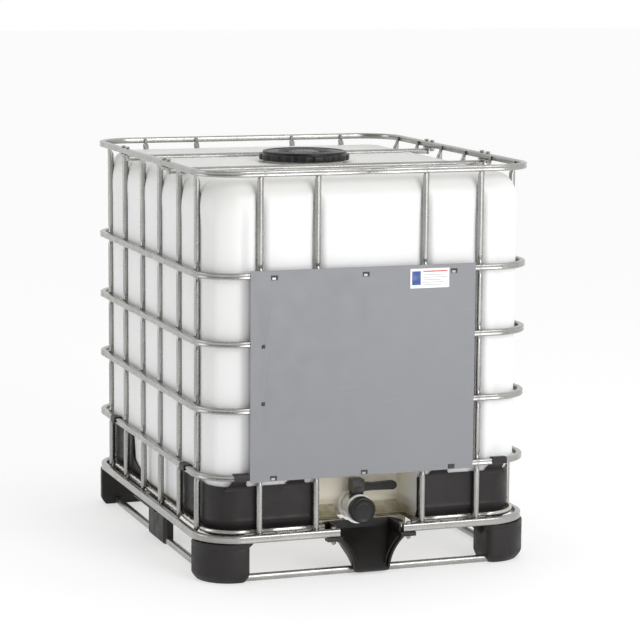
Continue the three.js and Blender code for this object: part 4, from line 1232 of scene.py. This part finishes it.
def turned_about_stem(profile, steps):
    """(points, faces) of a closed profile of (radius, z) turned about the valve's stem."""
    points = []
    for step in range(steps):
        angle = TAU * step / steps
        points += [(r * math.cos(angle), STEM_Y + r * math.sin(angle), z) for r, z in profile]
    return points, grid_faces(steps, len(profile), close_rows=True)


def outlet_cap():
    """A screw cap with a raised rim, a sunk face with a crescent on it, and gripping flutes."""
    low, high = span("outlet_cap")
    face, rear, outer = low.y, high.y, high.x
    profile = [(0, face + 3), (25, face + 3), (28.5, face + 2.4), (30.5, face + 0.6), (32.5, face)]
    profile += [(34.8, face + 0.2), (36.6, face + 1.6), (outer, face + 4), (outer, rear - 1.4)]
    profile += [(outer - 0.8, rear), (31.7, rear), (31.7, face + 8), (0, face + 8)]

    def flute(angle, radius):
        return radius - (1.3 * smooth((math.cos(angle * 26) - 0.2) / 0.5) if radius > 36.9 else 0)

    shell = turned_about_outlet(profile, 26 * 8, flute)
    arc = [math.radians(55 + 95 * step / 14) for step in range(15)]
    crescent = [(19 * math.cos(a), face + 2.6, VALVE_Z + 19 * math.sin(a)) for a in arc]
    crescent_part = bar_along(crescent, 2.6, 1.3, Vector((0, 1, 0)))
    name = "outlet_cap"
    merged(f"{name}_shell", [shell, crescent_part], LID_BLACK, (name,), "cap", 35)


def union_nut():
    low, high = span("valve_union_nut")
    bore, outer = 32.8, high.x - 2
    profile = [(bore, high.y), (bore, low.y), (outer - 5, low.y), (outer - 1.4, low.y + 1.6)]
    profile += [(outer, low.y + 5), (outer, high.y - 3), (outer - 2, high.y)]

    def flute(angle, radius):
        return radius - (1.6 * smooth((math.cos(angle * 10) - 0.2) / 0.5) if radius > outer - 3 else 0)

    points, faces = turned_about_outlet(profile, 120, flute)
    add_piece("valve_union_nut_shell", points, faces, VALVE, ("valve_union_nut",))


def valve_body():
    """The valve's housing: a barrel with rings cast round it, a tower for the stem and stops."""
    low, high = span("valve_body")
    bore, thread, barrel = 25, 31, 34
    profile = [(bore, high.y), (bore, low.y), (thread, low.y), (thread, low.y + 19), (39, low.y + 19.6)]
    profile += [(40, low.y + 21), (40, low.y + 26), (38.6, low.y + 28), (barrel + 1, low.y + 30)]
    profile += [(barrel, low.y + 33), (barrel, low.y + 60), (barrel + 2.4, low.y + 62)]
    profile += [(barrel + 2.4, low.y + 68), (barrel, low.y + 70), (barrel, low.y + 77)]
    profile += [(32, low.y + 80), (32, high.y)]
    parts = [turned_about_outlet(profile, 72)]
    root = VALVE_Z + 29
    tower = [(18, root), (17.4, root + 4), (17, 198), (17, 203), (16, 204), (6.5, 204), (6.5, root)]
    parts.append(turned_about_stem(tower, 48))
    for x in (-15, 13):
        parts.append(box_part((x, STEM_Y - 34, VALVE_Z + 22), (x + 2.5, STEM_Y - 12, VALVE_Z + 36)))
    merged("valve_body_shell", parts, VALVE, ("valve_body",), sharp=35)


def valve_lever():
    """The lever: a squarish hub over the stem, a flat bar with a rounded end, and its catch."""
    high = span("valve_lever")[1]
    bar_low, bar_high = high.z - 38, high.z - 12
    half = (bar_high - bar_low) / 2
    end_x = high.x - half
    outline = [(4, bar_low), (30, bar_low + 1.6), (46, bar_low + 2.2), (end_x - 12, bar_low + 0.8)]
    for step in range(13):
        angle = (step / 12 - 0.5) * math.pi
        outline.append((end_x + half * math.cos(angle), (bar_low + bar_high) / 2 + half * math.sin(angle)))
    outline += [(end_x - 12, bar_high - 0.8), (46, bar_high - 2.2), (30, bar_high), (4, bar_high)]
    depths = [STEM_Y - 7, STEM_Y + 7]
    bar = ([(x, y, z) for y in depths for x, z in outline], capped(2, len(outline)))
    rib_line = [(x, STEM_Y - 7, bar_high - 8) for x in (26, end_x - 2)]
    rib = bar_along(rib_line, 1.6, 1.4, Vector((0, 1, 0)))
    parts = [bar, rib]
    parts.append(box_part((-18, STEM_Y - 18, bar_low + 1), (18, STEM_Y + 18, high.z)))
    parts.append(box_part((-12, STEM_Y - 19, bar_high - 6), (12, STEM_Y - 17, high.z - 4)))
    collar = [(17.2, 196), (20.6, 196.6), (21, 200), (20.4, bar_low + 3), (17.6, bar_low + 3)]
    collar += [(17.6, 204.6), (17.2, 204)]
    parts.append(turned_about_stem(collar, 40))
    for angle in (200, 262):
        x, y = 20 * math.cos(math.radians(angle)), STEM_Y + 20 * math.sin(math.radians(angle))
        parts.append(box_part((x - 5, y - 2, 190), (x + 5, y + 4, 205)))
    piece = merged("valve_lever_shell", parts, LID_BLACK, ("valve_lever",), "lever", 40)
    rounded_edges(piece, 1.6, 3)


def guard_outline(inset=0.0, steps=12):
    """The guard's edge seen from the front, from the left flange down and up to the right one."""
    foot, waist, top = 50 - inset, 57 - inset, 92 - inset
    right = [(foot - 9, 10 + inset), (foot - 2, 11 + inset), (foot + 1, 16 + inset)]
    for step in range(1, steps + 1):
        t = step / steps
        x = (1 - t) ** 2 * (foot + 2) + 2 * t * (1 - t) * waist + t * t * top
        z = (1 - t) ** 2 * 20 + 2 * t * (1 - t) * 66 + t * t * 100
        right.append((x, z))
    right += [(top + 6, 105), (top + 16, 107), (130, 107)]
    return [(-x, z) for x, z in reversed(right)] + right


def valve_guard():
    """The guard's scoop, with a thick rolled rim along its front edge and a thinner one inside."""
    softened("valve_guard", GUARD_BLACK, radius=2.4, segments=3)
    front = -HALF_Y
    rim = [(x, front + 3.4, z) for x, z in guard_outline()]
    inner_rim = [(x, front + 12, z) for x, z in guard_outline(9)[3:-3]]
    facing = Vector((0, 1, 0))
    parts = [bar_along(rim, 3.8, 5.6, facing, 12), bar_along(inner_rim, 2.2, 4, facing, 10)]
    merged("valve_guard_rim", parts, BLACK, sharp=50)


EAR_TIP_X = 138
EAR_ROOT_X = 86
EAR_WALL = 5


def guard_ears():
    """The ends of the scoop's upper edge, which fall away behind the pallet ring."""
    high = span("valve_guard")[1]
    rear, top = high.y - 0.5, high.z
    outline = [(EAR_ROOT_X, top - 18), (EAR_TIP_X, top - 18), (EAR_TIP_X - 3, top - 12)]
    outline += [(116, top - 5), (100, top - 0.6), (EAR_ROOT_X, top - 0.4)]
    parts = []
    for side in (-1, 1):
        points = [(side * x, y, z) for y in (rear - EAR_WALL, rear) for x, z in outline]
        parts.append((points, capped(2, len(outline))))
    rounded_edges(merged("valve_guard_ears", parts, GUARD_BLACK, sharp=50), 1.6, 3)


# ---- front plate ----

SLOTS = [(x, z) for z in (296, 856) for x in (-295, -27, 237)]
SMALL_SLOTS = [(-326, 666), (-326, 506)]
LABEL_X = (105, 222)
LABEL_Z = (810, 865)


def plate_details():
    """Painted shadows in the slots, as dark boxes on the plate's face, with bright steel tabs bent through
    most of them, and a label with no words.
    """
    face = span("front_plate")[0].y
    tabbed = [(x, z) for x, z in SLOTS if z > 300 or x < 0]
    tabs = [box_part((x - 7, face - 0.9, z - 6), (x + 4, face + 2, z + 0.5)) for x, z in tabbed]
    rounded_edges(merged("front_plate_tabs", tabs, STEEL), 0.5, 2)
    # Painted shadow: a dark box on the plate's face at every slot and small slot.
    slot_shadows = [box_part((x - 9, face - 0.35, z - 7), (x + 9, face + 0.2, z + 6)) for x, z in SLOTS]
    slot_shadows += [box_part((x - 3, face - 0.35, z - 5), (x + 5, face + 0.2, z + 5)) for x, z in SMALL_SLOTS]
    merged("front_plate_slot_shadows", slot_shadows, GUARD_BLACK)
    (left, right), (low, high) = LABEL_X, LABEL_Z
    lines = [(low + 8 + 7 * line, right - 8 - 9 * (line % 3)) for line in range(5)]
    shapes = {
        "paper": [(left, low, right, high)],
        "blue": [(left + 5, low + 9, left + 31, high - 7)],
        "red": [(left + 38, high - 10, right - 6, high - 6.5)],
        "grey": [(left + 38, foot, end, foot + 2) for foot, end in lines],
    }
    colours = {
        "paper": label_colour("label_paper", (0.86, 0.86, 0.85)),
        "blue": label_colour("label_blue", (0.03, 0.07, 0.28)),
        "red": label_colour("label_red", (0.55, 0.04, 0.04)),
        "grey": label_colour("label_grey", (0.42, 0.42, 0.45)),
    }
    for name, blocks in shapes.items():
        lift = 0.45 if name == "paper" else 0.6
        parts = [box_part((x0, face - lift, z0), (x1, face + 0.1, z1)) for x0, z0, x1, z1 in blocks]
        merged(f"label_{name}", parts, colours[name])


# ---- pieces that keep their CAD shape, with softened edges, for every node not replaced above ----


def plain_nodes():
    slots = {entry["node"]: entry["material_slot"] for entry in frame["record"]["subparts"]}
    bodies = {node: body for body, nodes in frame["record"]["behaviour"]["bodies"].items() for node in nodes}
    looks = {
        "galvanised_steel": STEEL,
        "plate_paint": PLATE,
        "black_plastic": BLACK,
        "lid_plastic": LID_BLACK,
        "bottle_plastic": BOTTLE,
        "valve_plastic": VALVE,
        "seal_rubber": SEAL,
    }
    for node, piece in frame["nodes"].items():
        if piece.hide_render:
            continue
        look = PAN_STEEL if node == "bottom_pan" else looks[slots[node]]
        softened(node, look, bodies[node])


# ---- studio ----

AZIMUTH = math.radians(-19.728)
ELEVATION = math.radians(8.63)
ROLL = math.radians(0.408)
CAMERA_PLACE = Vector((-2.477, -7.057, 1.774))
LENS = 141.36


def camera():
    back = Vector((
        math.sin(AZIMUTH) * math.cos(ELEVATION),
        -math.cos(AZIMUTH) * math.cos(ELEVATION),
        math.sin(ELEVATION),
    ))
    right = (-back).cross(Vector((0, 0, 1))).normalized()
    up = right.cross(-back)
    tilted_right = right * math.cos(ROLL) + up * math.sin(ROLL)
    tilted_up = up * math.cos(ROLL) - right * math.sin(ROLL)
    data = bpy.data.cameras.new("camera")
    data.lens = LENS
    data.sensor_width = 36
    data.clip_end = 100
    eye = bpy.data.objects.new("camera", data)
    rotation = [[tilted_right[i], tilted_up[i], back[i]] for i in range(3)]
    matrix = eye.matrix_world.copy()
    for row in range(3):
        for column in range(3):
            matrix[row][column] = rotation[row][column]
        matrix[row][3] = CAMERA_PLACE[row]
    eye.matrix_world = matrix
    bpy.context.scene.collection.objects.link(eye)
    bpy.context.scene.camera = eye


def soft_light(name, place, aim, size, power, colour=(1, 1, 1)):
    data = bpy.data.lights.new(name, "AREA")
    data.shape = "SQUARE"
    data.size = size
    data.energy = power
    data.color = colour
    lamp = bpy.data.objects.new(name, data)
    lamp.location = place
    direction = Vector(aim) - Vector(place)
    lamp.rotation_euler = direction.to_track_quat("-Z", "Y").to_euler()
    bpy.context.scene.collection.objects.link(lamp)


def studio():
    world = bpy.data.worlds.new("studio")
    world.use_nodes = True
    background = world.node_tree.nodes["Background"]
    background.inputs["Color"].default_value = (1, 1, 1, 1)
    place = world.node_tree.nodes.new("ShaderNodeTexCoord").outputs["Generated"]
    towards = world.node_tree.nodes.new("ShaderNodeVectorMath")
    towards.operation = "DOT_PRODUCT"
    towards.inputs[1].default_value = (0.62, 0.78, 0.1)
    world.node_tree.links.new(place, towards.inputs[0])
    fade = world.node_tree.nodes.new("ShaderNodeMapRange")
    limits = ("From Min", -0.9), ("From Max", 0.3), ("To Min", 0.3), ("To Max", 1.0)
    for socket, number in limits:
        fade.inputs[socket].default_value = number
    world.node_tree.links.new(towards.outputs["Value"], fade.inputs["Value"])
    world.node_tree.links.new(fade.outputs["Result"], background.inputs["Strength"])
    bpy.context.scene.world = world
    bpy.context.scene.view_settings.view_transform = "Standard"
    soft_light("key", (1.8, -5.2, 2.6), (0, 0, 0.6), 2.6, 125)
    soft_light("low", (0.6, -4.6, 0.7), (0, 0, 0.25), 1.6, 22)
    soft_light("side", (-5.2, 0.6, 1.6), (0, 0, 0.6), 2.2, 34)
    mesh = bpy.data.meshes.new("floor")
    reach = 40
    corners = [(-reach, -reach, 0), (reach, -reach, 0), (reach, reach, 0), (-reach, reach, 0)]
    mesh.from_pydata(corners, [], [(0, 1, 2, 3)])
    mesh.materials.append(floor_paper())
    floor = bpy.data.objects.new("floor", mesh)
    bpy.context.scene.collection.objects.link(floor)


cage()
bottle()
recess_ledge()
fill_lid()
corner_protectors()
for corner_place in CORNERS:
    corner_foot(*corner_place)
for foot_side in ("left", "right", "rear"):
    mid_foot(foot_side)
outlet_cap()
union_nut()
valve_body()
valve_lever()
valve_guard()
guard_ears()
plate_details()
plain_nodes()
camera()
studio()
